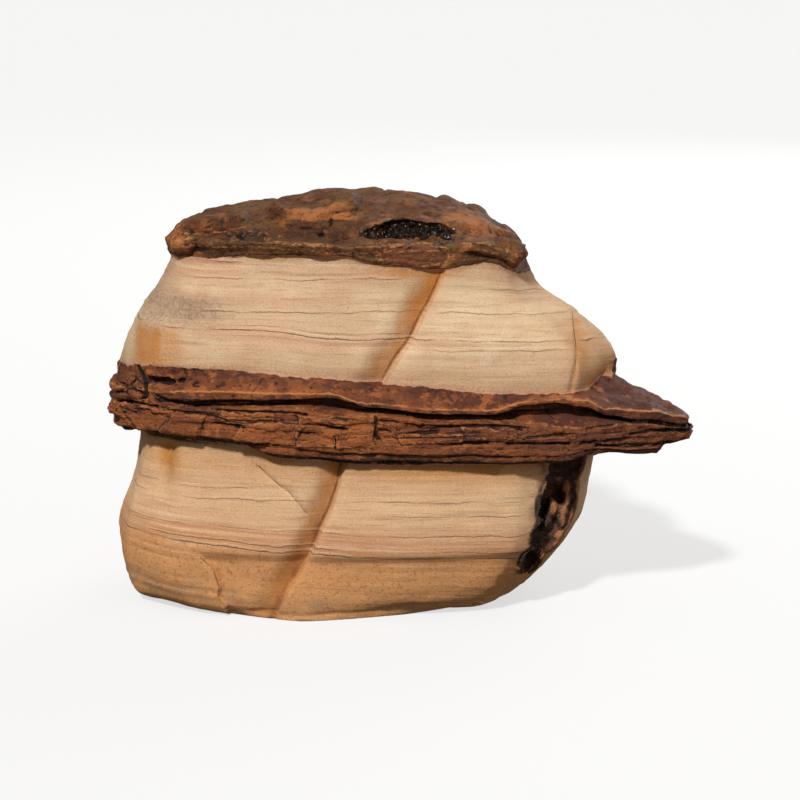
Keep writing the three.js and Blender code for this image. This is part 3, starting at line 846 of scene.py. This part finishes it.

# grey weathering, painted shade where the upper block's left flank turns away from the light, greyer bands near the
# upper block's foot, pink under the cap, and yellow patches
cap_front = along([(-78, -8), (-75, -21), (-57, -34), (-27, -40), (-2, -40), (18, -38), (34, -30), (43, -12)], x)
hairline = nearest(from_line(line, x, z) for line in (CRACK, SCAR, RIGHT_JOINT))
hairline = np.where((front > 0.3) & (iron < 0.5), np.clip(hairline, -20, 20), 20)
weathering_and_shade = 1.1 * patch(x, z, (-67, 104.5), (12, 5)) + 0.7 * patch(x, z, (-83, 104), (8, 14))
weathering_and_shade += 0.3 * patch(x, z, (-25, 105), (14, 4)) + 0.35 * patch(x, z, (40, 90), (25, 3)) * (x > 5)
weathering_and_shade += 0.4 * patch(x, z, (-12, 84), (12, 3)) + 0.4 * patch(x, z, (45, 82), (25, 2)) + 0.4 * patch(x, z, (-86, 46), (9, 3))
blush = 0.9 * patch(x, z, (-64, 119), (12, 3.5)) + 0.4 * patch(x, z, (-20, 117), (25, 3))
blush += 0.5 * patch(x, z, (38, 117), (14, 4)) + 0.5 * patch(x, z, (-20, 27), (70, 4))
yellow = ease(x, -89, -86.5) * (1 - 0.4 * ease(x, -78.5, -77.9)) * (1 - ease(x, -75, -68)) \
    * (1 - ease(z, 96.8, 98)) * ease(z, 83, 87)
yellow += 0.5 * ease(x, 58, 61) * row(z, 88, 13) + 0.5 * patch(x, z, (18, 52), (30, 4))
yellow += 0.6 * patch(x, z, (-77, 54), (4, 7)) + 0.25 * row(z, 54, 5) * (z < 62)
yellow += 1.1 * row(joint, -1.5, 2.4) * ease(z, 98, 106)
yellow += 0.5 * patch(x, z, (57.5, 93), (4, 6))
yellow *= front

# crystals in the cap's cavity and in the channel behind its rim; the cavity's sunken floor is also painted black as its
# shade, and the channel gets painted shade
sunk = cap_top(x, y) - z
crystals_and_pocket_shade = inside_bites(points, CAVITY, 1.8) * ease(sunk, 0.8, 1.6) * on_cap
crystals_and_pocket_shade = np.maximum(crystals_and_pocket_shade, 0.9 * patch(x, y, (-49, -25), (8, 3)) * on_cap)
channel_shade = (patch(x, y, (-44, -31), (28, 3.0)) + 0.8 * patch(x, y, (-27, -25), (15, 2.4))) * on_cap
ochre = 1.5 * patch(x, y, (-25, -19), (11, 4.5)) * ease(z, 131.4, 132.6)
ochre += 0.6 * patch(x, y, (22, -19), (10, 7)) + 0.8 * patch(x, z, (-74, 125), (5, 4)) + 0.8 * patch(x, y, (-7, -26), (4, 2.5))
ochre += 0.45 * patch(x, y, (30, -8), (18, 14)) + 0.7 * row(from_line([(23.5, 127), (13, 117)], x, z), 0, 1.6) * front
ochre += 0.35 * patch(x, z, (38, 118), (10, 4)) * front
ochre *= on_cap
scoop = (np.hypot((x - 5.4) / 12.4, (z - 122.9) / 3.7) - 1) * 3.7
scoop = np.where((front > 0.3) & (on_cap > 0.5) & (y < -34), np.clip(scoop, -20, 20), 20)

# near black: the ledge's lowest layers, a dark crust with painted shade under the set-back plates at the left end, and
# painted shade in its holes and in the deep part of the hollow
over_bottom = z - along(LEDGE_BOTTOM, x)
crust_and_shade = row(over_bottom, 1.5, 2.2) * row(x, -2, 34) + 0.6 * row(over_bottom, 0.5, 1.2)
# painted shade under the set-back plates at the left end
crust_and_shade += 0.7 * (1 - ease(over_bottom, 1.2, 2.2)) * (1 - ease(x, -52, -44))
black = crust_and_shade * on_ledge
for (at_x, at_z), (wide, tall), deep in HOLES:
    black += patch(x, z, (at_x, at_z), (wide * 0.8, tall * 0.8)) * front
# painted shade inside the hollow, darkest in its deep part behind the ragged edge
behind_face = y - along([(38, -44), (60, -31), (68, -12)], x)
hollow = np.where(z < 60, inside_bites(points, BITES, 1.8) * ease(behind_face, 0.8, 1.8), 0)
HOLLOW_EDGE = [(14, 38.5), (18, 41), (22, 43.6), (29, 47.1), (33, 47.8), (41, 45.7), (44, 44.4), (50, 50)]
deep_hollow_shade = hollow * np.maximum(1 - ease(x - along(HOLLOW_EDGE, z), 2.5, 6), ease(z, 43, 49) * (1 - ease(x, 57, 60)))

# signed distances, in mm, from the lines that the finish draws
cracks = nearest(from_line(line, x, z) / wide for line, wide, _ in LEDGE_CRACKS)
cracks = np.where((front > 0.3) & (iron > 0), np.clip(cracks, -20, 20), 20)
flake = nearest(outside_slab(points, at, half, slant) for at, half, slant, _ in SLABS)
scarp = np.where(
    (x > LEFT_SCARP[0][0]) & (x < LEFT_SCARP[-1][0]),
    y - along(LEFT_SCARP, x) + 0.8 * noise(ring_at(points[:, :2], 0), 4, 71), 30)
tone = 0.8 * patch(x, z, (-16, 67), (9, 6)) + 0.7 * patch(x, z, (16, 62.3), (6, 1)) + 0.6 * patch(x, z, (-1, 63.5), (5, 1.5))
tone += 0.5 * patch(x, z, (-45, 66), (12, 6)) + 0.5 * patch(x, z, (-50, 80), (22, 1.5)) + 0.3 * patch(x, z, (-88, 78), (5, 4))
tone -= 0.5 * patch(x, z, (45, 64), (25, 8)) + 0.6 * patch(x, z, (-22, 75), (12, 2.5)) + 0.5 * ease(x, 62, 70)

for name, values in {
        "iron": iron, "beds": height, "edge": fine_edge, "relief": broad_edge, "joint": np.clip(joint, -30, 30),
        "cracks": cracks, "flake": np.where((on_ledge > 0.5) & (front > 0.3), np.clip(flake, -20, 20), 20),
        "scarp": np.where(on_cap > 0.5, scarp, 30), "split": z - along(SPLIT, x), "lip": z - along(LIP, x),
        "shelf": z - along(PLATES_TOP, x), "rim": np.where(y < cap_front + 3.5, z - along(CAP_RIM, x), 20),
        "hairline": hairline, "sunk": sunk, "tone": np.clip(tone, -1, 1), "scoop": scoop,
        "cap": on_cap, "hollow": hollow, "round": np.arctan2(y, -x) * 78,
        "plates": (z - along(LEDGE_BOTTOM, x)) / (along(PLATES_TOP, x) - along(LEDGE_BOTTOM, x)) * 15}.items():
    give(name, values)
for name, share in {
        "stain_and_hollow_shade": stain_and_hollow_shade, "weathering_and_shade": weathering_and_shade, "blush": blush, "yellow": yellow, "crystals_and_pocket_shade": crystals_and_pocket_shade, "channel_shade": channel_shade,
        "ochre": ochre, "black": black, "deep_hollow_shade": deep_hollow_shade}.items():
    give(name, np.clip(share, 0, 1))

# %% [markdown]
# ## The finish: helpers
# The material is built from nodes. These helpers add a node, join its inputs and give back its output, so
# that the recipe below reads like a list of layers of paint.

# %% Node helpers
stone = bpy.data.materials.new("banded sandstone and ironstone")
stone.use_nodes = True
tree = stone.node_tree
tree.nodes.clear()


def paint(red, green, blue):
    """A colour given as it looks on a screen, in the linear form that nodes take."""
    return tuple(((c / 255 + 0.055) / 1.055)**2.4 if c > 10 else c / 255 / 12.92
                 for c in (red, green, blue)) + (1.0,)


def node(kind, inputs=(), output=0, **settings):
    made = tree.nodes.new("ShaderNode" + kind)
    for key, value in settings.items():
        setattr(made, key, value)
    for key, value in dict(inputs).items():
        if isinstance(value, bpy.types.NodeSocket):
            tree.links.new(value, made.inputs[key])
        else:
            made.inputs[key].default_value = value
    return made.outputs[output]


def calc(operation, a, b=0.0, c=0.0):
    return node("Math", {0: a, 1: b, 2: c}, operation=operation)


def attribute(name):
    return node("Attribute", output="Fac", attribute_name=name)


def fit(value, low, high, start=0.0, end=1.0):
    """Spread a value from low..high over start..end, easing in and out."""
    return node("MapRange", {0: value, 1: low, 2: high, 3: start, 4: end}, interpolation_type="SMOOTHSTEP")


def layer(under, over, share, blend="MIX"):
    return node("Mix", {0: share, 6: under, 7: over}, output=2, data_type="RGBA", blend_type=blend)


def texture(size, place, detail=3.0, rough=0.55, distort=0.0):
    """Noise from 0 to 1 with lumps of a size in mm."""
    return node("TexNoise", {"Vector": place, "Scale": 1 / size, "Detail": detail, "Roughness": rough,
                             "Distortion": distort})


def stretched(place, along_x, along_y, along_z):
    return node("Mapping", {"Vector": place, "Scale": (along_x, along_y, along_z)})


# %% [markdown]
# ## The finish: sandstone
# Sandstone's colour comes from the thin film on its grains. Its beds show as bands that run level for a long
# way: broad soft ones, fine pale and dark lines, and a few hair lines of dark grains. Iron stains spread from
# the joints, and the foot of the rock is more orange.

# %% Places in mm
place = node("VectorMath", {0: node("TexCoord", output="Object"), "Scale": 1000.0}, operation="SCALE")
parts = tree.nodes.new("ShaderNodeSeparateXYZ")
tree.links.new(place, parts.inputs[0])
at_x, at_y, at_z = parts.outputs
beds = attribute("beds")
level = node("CombineXYZ", {0: at_x, 1: at_y, 2: beds})
iron_depth = attribute("iron")
edge = attribute("edge")
relief = attribute("relief")

# %% Sandstone colours
CREAM = paint(220, 182, 144)
PALE = paint(230, 200, 162)
PINK = paint(208, 148, 116)
ORANGE = paint(212, 148, 88)
SANDY = paint(224, 178, 132)
TAWNY = paint(186, 140, 98)
GREY_BROWN = paint(134, 106, 84)
PEPPER = paint(116, 92, 76)
SEAM = paint(138, 92, 60)
STAIN = paint(126, 70, 34)
OCHRE = paint(188, 124, 60)
YELLOW = paint(194, 122, 36)

# the dark bedding seams that run furthest: height in the beds, left end, right end and strength
SEAMS = [(115.3, -76, 4, 0.7), (112.3, 17, 60, 0.5), (104.7, -68, 60, 0.7), (97.6, -60, 4, 0.5), (95.9, -99, 70, 1.0),
         (92.8, 4, 60, 0.7), (45.9, -92, -45, 0.5), (42.1, -99, 45, 0.6), (37.3, -18, 45, 0.6), (30.2, -99, 45, 0.6),
         (24.6, -99, 45, 0.7), (22.4, -99, 45, 1.0), (120.4, -74, -48, 1.0)]


def line_at(distance, half):
    """1 on a line, where a signed distance is 0, falling to 0 at twice the half width."""
    return fit(calc("ABSOLUTE", distance), half * 0.5, half * 1.5, 1.0, 0.0)


wobble = calc("SUBTRACT", texture(10.0, place, 3.0, 0.55), 0.5)
broken_up = fit(texture(9.0, stretched(level, 0.5, 0.5, 2.0), 3.0), 0.36, 0.58, 0.1, 1.0)
wander = calc("ADD", calc("MULTIPLY", wobble, 2.2), calc("MULTIPLY", texture(1.4, place, 2.0), 0.5))
seam_dark = 0.0
seam_light = 0.0
for at_height, start, end, strength in SEAMS:
    away = calc("ADD", calc("SUBTRACT", beds, at_height), wander)
    here = calc("MULTIPLY", fit(at_x, start, start + 8), fit(at_x, end, end - 8, 0.0, strength))
    seam_dark = calc("MAXIMUM", seam_dark, calc("MULTIPLY", line_at(away, 0.17), here))
    seam_light = calc("MAXIMUM", seam_light, calc("MULTIPLY", line_at(calc("SUBTRACT", away, 0.65), 0.4), here))
seam_dark = calc("MULTIPLY", seam_dark, broken_up)
seam_light = calc("MULTIPLY", seam_light, broken_up)

broad_bands = texture(6.0, stretched(level, 0.06, 0.06, 1.0), 2.0)
thin_bands = texture(1.5, stretched(level, 0.03, 0.03, 1.0), 3.0, 0.65)
hair_bands = texture(0.8, stretched(level, 0.06, 0.06, 1.0), 3.0, 0.6)
grain = texture(0.5, place, 2.0, 0.7)
grit = texture(0.8, place, 3.0, 0.7)

sand = layer(CREAM, PALE, fit(texture(22.0, place, 3.0), 0.4, 0.65))
sand = layer(sand, PINK, calc("MULTIPLY", fit(broad_bands, 0.5, 0.7), 0.4))
sand = layer(sand, SANDY, fit(beds, 66.0, 56.0, 0.0, 0.75))
sand = layer(sand, TAWNY, fit(iron_depth, -11.0, -0.5, 0.0, 0.5))
band_zone = calc("MULTIPLY", fit(beds, 34.0, 29.0), fit(beds, 17.0, 22.0))
sand = layer(sand, paint(204, 142, 98), calc("MULTIPLY", band_zone, fit(thin_bands, 0.4, 0.6, 0.1, 0.85)))
low_orange = calc("ADD", beds, calc("MULTIPLY", texture(12.0, place, 4.0, 0.6), 16.0))
sand = layer(sand, ORANGE, fit(low_orange, 36.0, 26.0, 0.0, 0.9))
sand = layer(sand, TAWNY, calc("MULTIPLY", fit(low_orange, 20.0, 11.0), fit(texture(8.0, place, 3.0), 0.4, 0.6, 0.0, 0.8)))
sand = layer(sand, PINK, calc("MULTIPLY", attribute("blush"), fit(thin_bands, 0.35, 0.6, 0.3, 0.9)))
sand = layer(sand, GREY_BROWN, fit(thin_bands, 0.55, 0.72, 0.0, 0.35))
sand = layer(sand, PALE, calc("MULTIPLY", fit(thin_bands, 0.44, 0.30, 0.0, 0.5), fit(low_orange, 24.0, 32.0, 0.2, 1.0)))
orange_specks = calc("MULTIPLY", fit(texture(1.3, place, 3.0, 0.6), 0.54, 0.66), fit(low_orange, 34.0, 26.0, 0.0, 0.55))
sand = layer(sand, paint(166, 92, 48), orange_specks)
sand = layer(sand, TAWNY, fit(hair_bands, 0.54, 0.68, 0.0, 0.5))

# ochre and brown over the stains, and over the painted shade in broad hollows
stain_and_shade_here = calc("MULTIPLY", attribute("stain_and_hollow_shade"), fit(texture(5.0, stretched(place, 1.0, 1.0, 0.5), 4.0), 0.3, 0.7, 0.7, 1.1))
sand = layer(sand, OCHRE, fit(stain_and_shade_here, 0.08, 0.6, 0.0, 0.75))
sand = layer(sand, STAIN, fit(stain_and_shade_here, 0.55, 1.05, 0.0, 0.75))
yellow_here = calc("MULTIPLY", attribute("yellow"), fit(texture(5.0, place, 3.0), 0.3, 0.6, 0.85, 1.0))
sand = layer(sand, YELLOW, calc("MULTIPLY", yellow_here, 0.85))
joint_away = calc("ADD", calc("ADD", attribute("joint"), 0.3), calc("MULTIPLY", wobble, 1.2))
joint_line = calc("MULTIPLY", line_at(joint_away, 0.4), fit(beds, 14.0, 30.0, 0.0, 0.7))
sand = layer(sand, paint(100, 64, 36), joint_line)
sand = layer(sand, SEAM, calc("MULTIPLY", seam_dark, 0.85))
sand = layer(sand, PALE, calc("MULTIPLY", seam_light, 0.35))
hairline = calc("ADD", attribute("hairline"), calc("MULTIPLY", wobble, 0.8))
sand = layer(sand, paint(112, 70, 40), calc("MULTIPLY", line_at(hairline, 0.2), fit(texture(4.0, place, 2.0), 0.35, 0.6, 0.3, 0.8)))

pepper = calc("ADD", grit, calc("MULTIPLY", attribute("weathering_and_shade"), calc("MULTIPLY", texture(3.0, level, 3.0), 0.42)))
sand = layer(sand, PEPPER, fit(pepper, 0.64, 0.80, 0.0, 0.5))
fringe = calc("MULTIPLY", fit(iron_depth, -3.2, -0.6), fit(grit, 0.46, 0.60, 0.0, 0.5))
sand = layer(sand, GREY_BROWN, fringe)
# grey-brown over the weathered patch, and over the painted shade on the left flank
sand = layer(sand, GREY_BROWN, calc("MULTIPLY", attribute("weathering_and_shade"), 0.45))
# painted shade in the hollow: dark red-brown, with painted light on its ridges and near black in its deep part
hollow_shade_colour = layer(paint(92, 48, 28), paint(44, 24, 17), fit(texture(4.0, place, 3.0), 0.4, 0.6))
hollow_shade_colour = layer(hollow_shade_colour, paint(158, 98, 58), fit(calc("ADD", relief, calc("MULTIPLY", grit, 0.8)), 0.6, 1.2))
hollow_shade_colour = layer(hollow_shade_colour, paint(30, 18, 14), attribute("deep_hollow_shade"))
sand = layer(sand, hollow_shade_colour, calc("MULTIPLY", attribute("hollow"), 0.95))
sand = layer(sand, GREY_BROWN, fit(grain, 0.46, 0.3, 0.0, 0.35))
sand = layer(sand, (1.0, 1.0, 1.0, 1.0), fit(grain, 0.52, 0.75, 0.0, 0.16))

# %% [markdown]
# ## The finish: ironstone
# Ironstone is a mix of iron oxides: red-brown on broken faces, tan where an edge has been rubbed, and
# nearly black where manganese has settled in the cracks. Its tan edge lines are also painted highlights,
# and its crevices, split, holes and cavity are painted dark as shade. The ledge breaks into flat blocks,
# each a little lighter or darker than its neighbours, so a brick pattern with crooked joints sets their tones.

# %% Ironstone colours
DARK = paint(52, 29, 20)
PURPLE = paint(88, 50, 40)
RED_BROWN = paint(132, 73, 41)
RUST = paint(176, 102, 55)
TAN = paint(200, 133, 79)
BLACK = paint(22, 17, 15)
OLIVE = paint(114, 78, 44)
CHESTNUT = paint(98, 54, 28)
APRICOT = paint(186, 116, 66)

mottle = texture(7.0, stretched(place, 0.6, 0.6, 1.5), 4.0, 0.6)
freckle = texture(1.6, stretched(place, 0.6, 0.6, 1.4), 3.0, 0.6)
crooked = calc("SUBTRACT", texture(6.0, place, 3.0), 0.5)
block_place = node("CombineXYZ", {0: calc("ADD", attribute("round"), calc("MULTIPLY", crooked, 9.0)),
                                  1: calc("ADD", attribute("plates"), calc("MULTIPLY", crooked, 3.0))})
BLOCKS = {"Vector": block_place, "Color1": (1, 1, 1, 1), "Color2": (0, 0, 0, 1), "Mortar": (0.5, 0.5, 0.5, 1),
          "Scale": 1.0, "Mortar Size": 0.12, "Mortar Smooth": 0.8, "Brick Width": 21.0, "Row Height": 3.1}
block_tone = node("TexBrick", BLOCKS, output=0, offset=0.37, squash=0.6, squash_frequency=3)
block_gap = node("TexBrick", BLOCKS, output=1, offset=0.37, squash=0.6, squash_frequency=3)
in_stack = calc("MULTIPLY", fit(attribute("plates"), 15.4, 14.6), calc("SUBTRACT", 1.0, attribute("cap")))

tone = attribute("tone")
on_upper_face = calc("MULTIPLY", fit(attribute("lip"), 0.0, 1.2), calc("SUBTRACT", 1.0, attribute("cap")))
patchy = calc("ADD", texture(5.0, place, 4.0, 0.65), calc("MULTIPLY", tone, 0.22))
ledge = layer(RED_BROWN, PURPLE, fit(calc("SUBTRACT", mottle, calc("MULTIPLY", tone, 0.2)), 0.46, 0.62, 0.0, 0.9))
ledge = layer(ledge, RUST, fit(patchy, 0.48, 0.62, 0.0, 0.85))
ledge = layer(ledge, RUST, calc("MULTIPLY", calc("MULTIPLY", block_tone, in_stack), 0.45))
ledge = layer(ledge, PURPLE, calc("MULTIPLY", on_upper_face, fit(texture(9.0, place, 4.0), 0.42, 0.6, 0.0, 0.5)))
spots = calc("MULTIPLY", fit(texture(2.6, place, 2.0), 0.60, 0.68), on_upper_face)
ledge = layer(ledge, DARK, calc("MAXIMUM", fit(freckle, 0.40, 0.26, 0.0, 0.85), calc("MULTIPLY", spots, 0.8)))
gap_here = calc("MULTIPLY", calc("MULTIPLY", block_gap, in_stack), fit(texture(9.0, place, 2.0), 0.46, 0.6))
ledge = layer(ledge, BLACK, calc("MULTIPLY", gap_here, 0.7))

crust_and_shade = layer(CHESTNUT, OLIVE, fit(mottle, 0.4, 0.62))
crust_and_shade = layer(crust_and_shade, RUST, calc("MULTIPLY", fit(texture(9.0, place, 4.0, 0.6), 0.52, 0.7), 0.6))
crust_and_shade = layer(crust_and_shade, DARK, fit(freckle, 0.46, 0.30, 0.0, 0.85))
# painted shade along the channel behind the rim
crust_and_shade = layer(crust_and_shade, paint(60, 38, 25), calc("MULTIPLY", attribute("channel_shade"), 0.85))
apricot_here = calc("ADD", attribute("ochre"), calc("MULTIPLY", calc("SUBTRACT", texture(3.0, place, 4.0, 0.65), 0.5), 1.4))
crust_and_shade = layer(crust_and_shade, APRICOT, fit(apricot_here, 0.25, 0.8, 0.0, 0.9))
scoop_away = calc("ADD", attribute("scoop"), calc("MULTIPLY", crooked, 1.6))
crust_and_shade = layer(crust_and_shade, paint(128, 76, 48), fit(scoop_away, 0.3, -0.5, 0.0, 0.85))
# painted glints: tan specks as tiny highlights on the crust, with dark specks between
glints = texture(0.8, place, 2.0, 0.7)
crust_and_shade = layer(crust_and_shade, TAN, fit(glints, 0.60, 0.72, 0.0, 0.45))
crust_and_shade = layer(crust_and_shade, DARK, fit(glints, 0.42, 0.30, 0.0, 0.6))

ironstone = layer(ledge, crust_and_shade, attribute("cap"))

# lines of light on rubbed edges, with chips in them: partly wear and partly painted highlights where lips, rims and the
# scoop's edges catch the light
chips = fit(texture(1.6, place, 3.0, 0.65), 0.42, 0.56)
chipped = calc("MULTIPLY", calc("SUBTRACT", texture(2.0, place, 3.0), 0.5), 1.6)
long_chips = fit(texture(6.0, stretched(place, 0.5, 0.5, 1.0), 4.0, 0.6), 0.36, 0.5, 0.25, 1.0)
lip_line = line_at(calc("ADD", calc("ADD", attribute("lip"), 0.1), calc("MULTIPLY", chipped, 0.8)), 0.22)
lip_line = calc("MULTIPLY", lip_line, long_chips)
shelf_line = line_at(calc("ADD", attribute("shelf"), chipped), 0.25)
flake_line = line_at(calc("ADD", calc("ADD", attribute("flake"), 0.3), calc("MULTIPLY", chipped, 0.6)), 0.25)
scarp_line = line_at(calc("ADD", calc("SUBTRACT", attribute("scarp"), 1.3), chipped), 0.35)
rim_line = line_at(calc("ADD", calc("SUBTRACT", attribute("rim"), 0.1), chipped), 0.55)
cavity_line = calc("MULTIPLY", line_at(calc("SUBTRACT", attribute("sunk"), 0.8), 0.4), fit(attribute("crystals_and_pocket_shade"), 0.05, 0.3))
ledge_lines = calc("MAXIMUM", lip_line, calc("MULTIPLY", calc("MULTIPLY", calc("MAXIMUM", shelf_line, flake_line), 0.8), chips))
ledge_lines = calc("MULTIPLY", ledge_lines, calc("SUBTRACT", 1.0, attribute("cap")))
low_rim_line = calc("MULTIPLY", line_at(calc("ADD", calc("ADD", attribute("rim"), 2.2), chipped), 0.3), 0.7)
cap_lines = calc("MAXIMUM", calc("MAXIMUM", scarp_line, rim_line), cavity_line)
cap_lines = calc("MAXIMUM", calc("MULTIPLY", cap_lines, fit(scoop_away, 0.0, 0.6)), line_at(scoop_away, 0.3))
cap_lines = calc("MAXIMUM", cap_lines, low_rim_line)
cap_lines = calc("MULTIPLY", calc("MULTIPLY", cap_lines, attribute("cap")), chips)
rubbed_and_lit_lines = calc("MAXIMUM", ledge_lines, cap_lines)
wear_and_highlight = calc("MAXIMUM", calc("MULTIPLY", fit(edge, 0.18, 0.45), calc("MULTIPLY", chips, 0.6)), calc("MULTIPLY", rubbed_and_lit_lines, 0.85))
ironstone = layer(ironstone, TAN, wear_and_highlight)

# lines of dark: painted shade in crevices, in the open split and just outside the proud slabs, dark cracks, and what
# lies in them
crevice_shade = fit(calc("ADD", edge, calc("MULTIPLY", calc("SUBTRACT", mottle, 0.5), 0.2)), -0.06, -0.28)
crevice_shade = calc("MULTIPLY", crevice_shade, fit(iron_depth, 0.6, 1.6))
crack_line = line_at(calc("ADD", attribute("cracks"), chipped), 0.8)
flake_edge_shade = calc("MULTIPLY", line_at(calc("SUBTRACT", attribute("flake"), 0.3), 0.2), fit(mottle, 0.4, 0.55, 0.0, 0.8))
split_shade = calc("MULTIPLY", fit(attribute("split"), -1.7, -1.2), fit(attribute("split"), 0.3, 0.0))
split_shade = calc("MULTIPLY", split_shade, fit(relief, 0.6, 0.0))
black_here = calc("MULTIPLY", attribute("black"), fit(freckle, 0.66, 0.5))
for share in (crevice_shade, crack_line, flake_edge_shade, split_shade, attribute("crystals_and_pocket_shade")):
    black_here = calc("MAXIMUM", black_here, share)
ironstone = layer(ironstone, BLACK, calc("MULTIPLY", black_here, 0.92))

# %% [markdown]
# ## The finish: putting them together
# The contact between the two is crooked on a small scale, so noise is added to the distance before it is
# turned into a mask. Sand grains and pits too small for the mesh become a bump.

# %% Shader
contact = calc("ADD", iron_depth, calc("MULTIPLY", calc("SUBTRACT", texture(3.0, place, 3.0), 0.5), 1.8))
is_iron = fit(contact, -0.15, 0.25)
colour = layer(sand, ironstone, is_iron)
pink_rim = calc("MULTIPLY", fit(contact, -1.8, -0.2), calc("SUBTRACT", 1.0, is_iron))
colour = layer(colour, PINK, calc("MULTIPLY", pink_rim, 0.45))

sand_bump = calc("ADD", calc("MULTIPLY", grain, 0.14), calc("MULTIPLY", thin_bands, 0.16))
sand_bump = calc("ADD", sand_bump, calc("MULTIPLY", hair_bands, 0.10))
sand_bump = calc("ADD", sand_bump, calc("MULTIPLY", calc("SUBTRACT", seam_light, seam_dark), 0.12))
rough_iron = calc("ADD", freckle, calc("MULTIPLY", texture(0.9, place, 4.0, 0.7), 1.2))
rough_iron = calc("SUBTRACT", calc("MULTIPLY", rough_iron, 0.75), calc("MULTIPLY", crack_line, 0.4))
bubbles = fit(node("TexVoronoi", {"Vector": place, "Scale": 1 / 1.6}), 0.0, 0.65, 0.9, 0.0)
iron_bump = node("Mix", {0: attribute("crystals_and_pocket_shade"), 2: rough_iron, 3: bubbles})
height_mm = node("Mix", {0: is_iron, 2: sand_bump, 3: iron_bump})
bump = node("Bump", {"Height": calc("MULTIPLY", height_mm, MM), "Strength": 1.0, "Distance": 1.0})
iron_gloss = node("Mix", {0: attribute("crystals_and_pocket_shade"), 2: fit(freckle, 0.3, 0.7, 0.75, 0.5), 3: 0.22})
gloss = node("Mix", {0: is_iron, 2: 0.95, 3: iron_gloss})

surface = node("BsdfPrincipled", {"Base Color": colour, "Roughness": gloss, "Specular IOR Level": 0.28,
                                  "Normal": bump})
tree.links.new(surface, tree.nodes.new("ShaderNodeOutputMaterial").inputs["Surface"])
rock.data.materials.clear()
rock.data.materials.append(stone)

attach(rock, "root")
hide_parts(ROCK_NODE)
print("finish has", len(tree.nodes), "nodes")

# %% [markdown]
# ## Floor and light
# The photograph was cut out and put on pure white, so the white around the rock never lit it. The floor here
# is a pale light table that the rock's surfaces don't see. A strong light stands at the upper left in front and
# throws the ledge's shadow on the lower block, and a weaker one behind keeps the back readable.

# %% Floor
bpy.ops.object.select_all(action="DESELECT")
bpy.ops.mesh.primitive_plane_add(size=300, location=(0, 0, 0))
floor = bpy.context.object
floor.name = "floor"
floor.visible_diffuse = False
floor.visible_glossy = False
pale = bpy.data.materials.new("pale floor")
pale.use_nodes = True
table = pale.node_tree.nodes["Principled BSDF"].inputs
table["Base Color"].default_value = (0.3, 0.3, 0.3, 1)
table["Roughness"].default_value = 1.0
table["Specular IOR Level"].default_value = 0.0
table["Emission Color"].default_value = (1, 1, 1, 1)
table["Emission Strength"].default_value = 0.66
floor.data.materials.append(pale)

# %% Lights
def aimed_light(name, kind, at, power):
    """A light that faces the rock's middle."""
    bpy.ops.object.light_add(type=kind, location=at)
    light = bpy.context.object
    light.name = name
    light.data.energy = power
    light.rotation_euler = (Vector(AIM) - Vector(at)).to_track_quat("-Z", "Y").to_euler()
    return light.data


key = aimed_light("key light", "SUN", (-0.32, -0.85, 0.88), 2.9)
key.angle = math.radians(5)
fill = aimed_light("fill light", "AREA", (0.9, -0.9, 0.5), 1.2)
fill.size = 0.9
back_light = aimed_light("back light", "AREA", (0.7, 1.0, 0.7), 7)
back_light.size = 1.0

# %% World
world = bpy.data.worlds.new("studio")
world.use_nodes = True
room = world.node_tree
direction = room.nodes.new("ShaderNodeTexCoord").outputs["Generated"]
split = room.nodes.new("ShaderNodeSeparateXYZ")
brightness = room.nodes.new("ShaderNodeMapRange")
room.links.new(direction, split.inputs[0])
room.links.new(split.outputs["Z"], brightness.inputs["Value"])
for socket, value in {"From Min": -0.3, "From Max": 0.3, "To Min": 0.13, "To Max": 0.26}.items():
    brightness.inputs[socket].default_value = value
seen = room.nodes.new("ShaderNodeLightPath").outputs["Is Camera Ray"]
white_behind = room.nodes.new("ShaderNodeMix")
room.links.new(seen, white_behind.inputs[0])
room.links.new(brightness.outputs[0], white_behind.inputs[2])
white_behind.inputs[3].default_value = 0.95
room.links.new(white_behind.outputs[0], room.nodes["Background"].inputs["Strength"])
room.nodes["Background"].inputs["Color"].default_value = (1.0, 0.94, 0.86, 1)
bpy.context.scene.world = world
bpy.context.scene.view_settings.view_transform = "Standard"
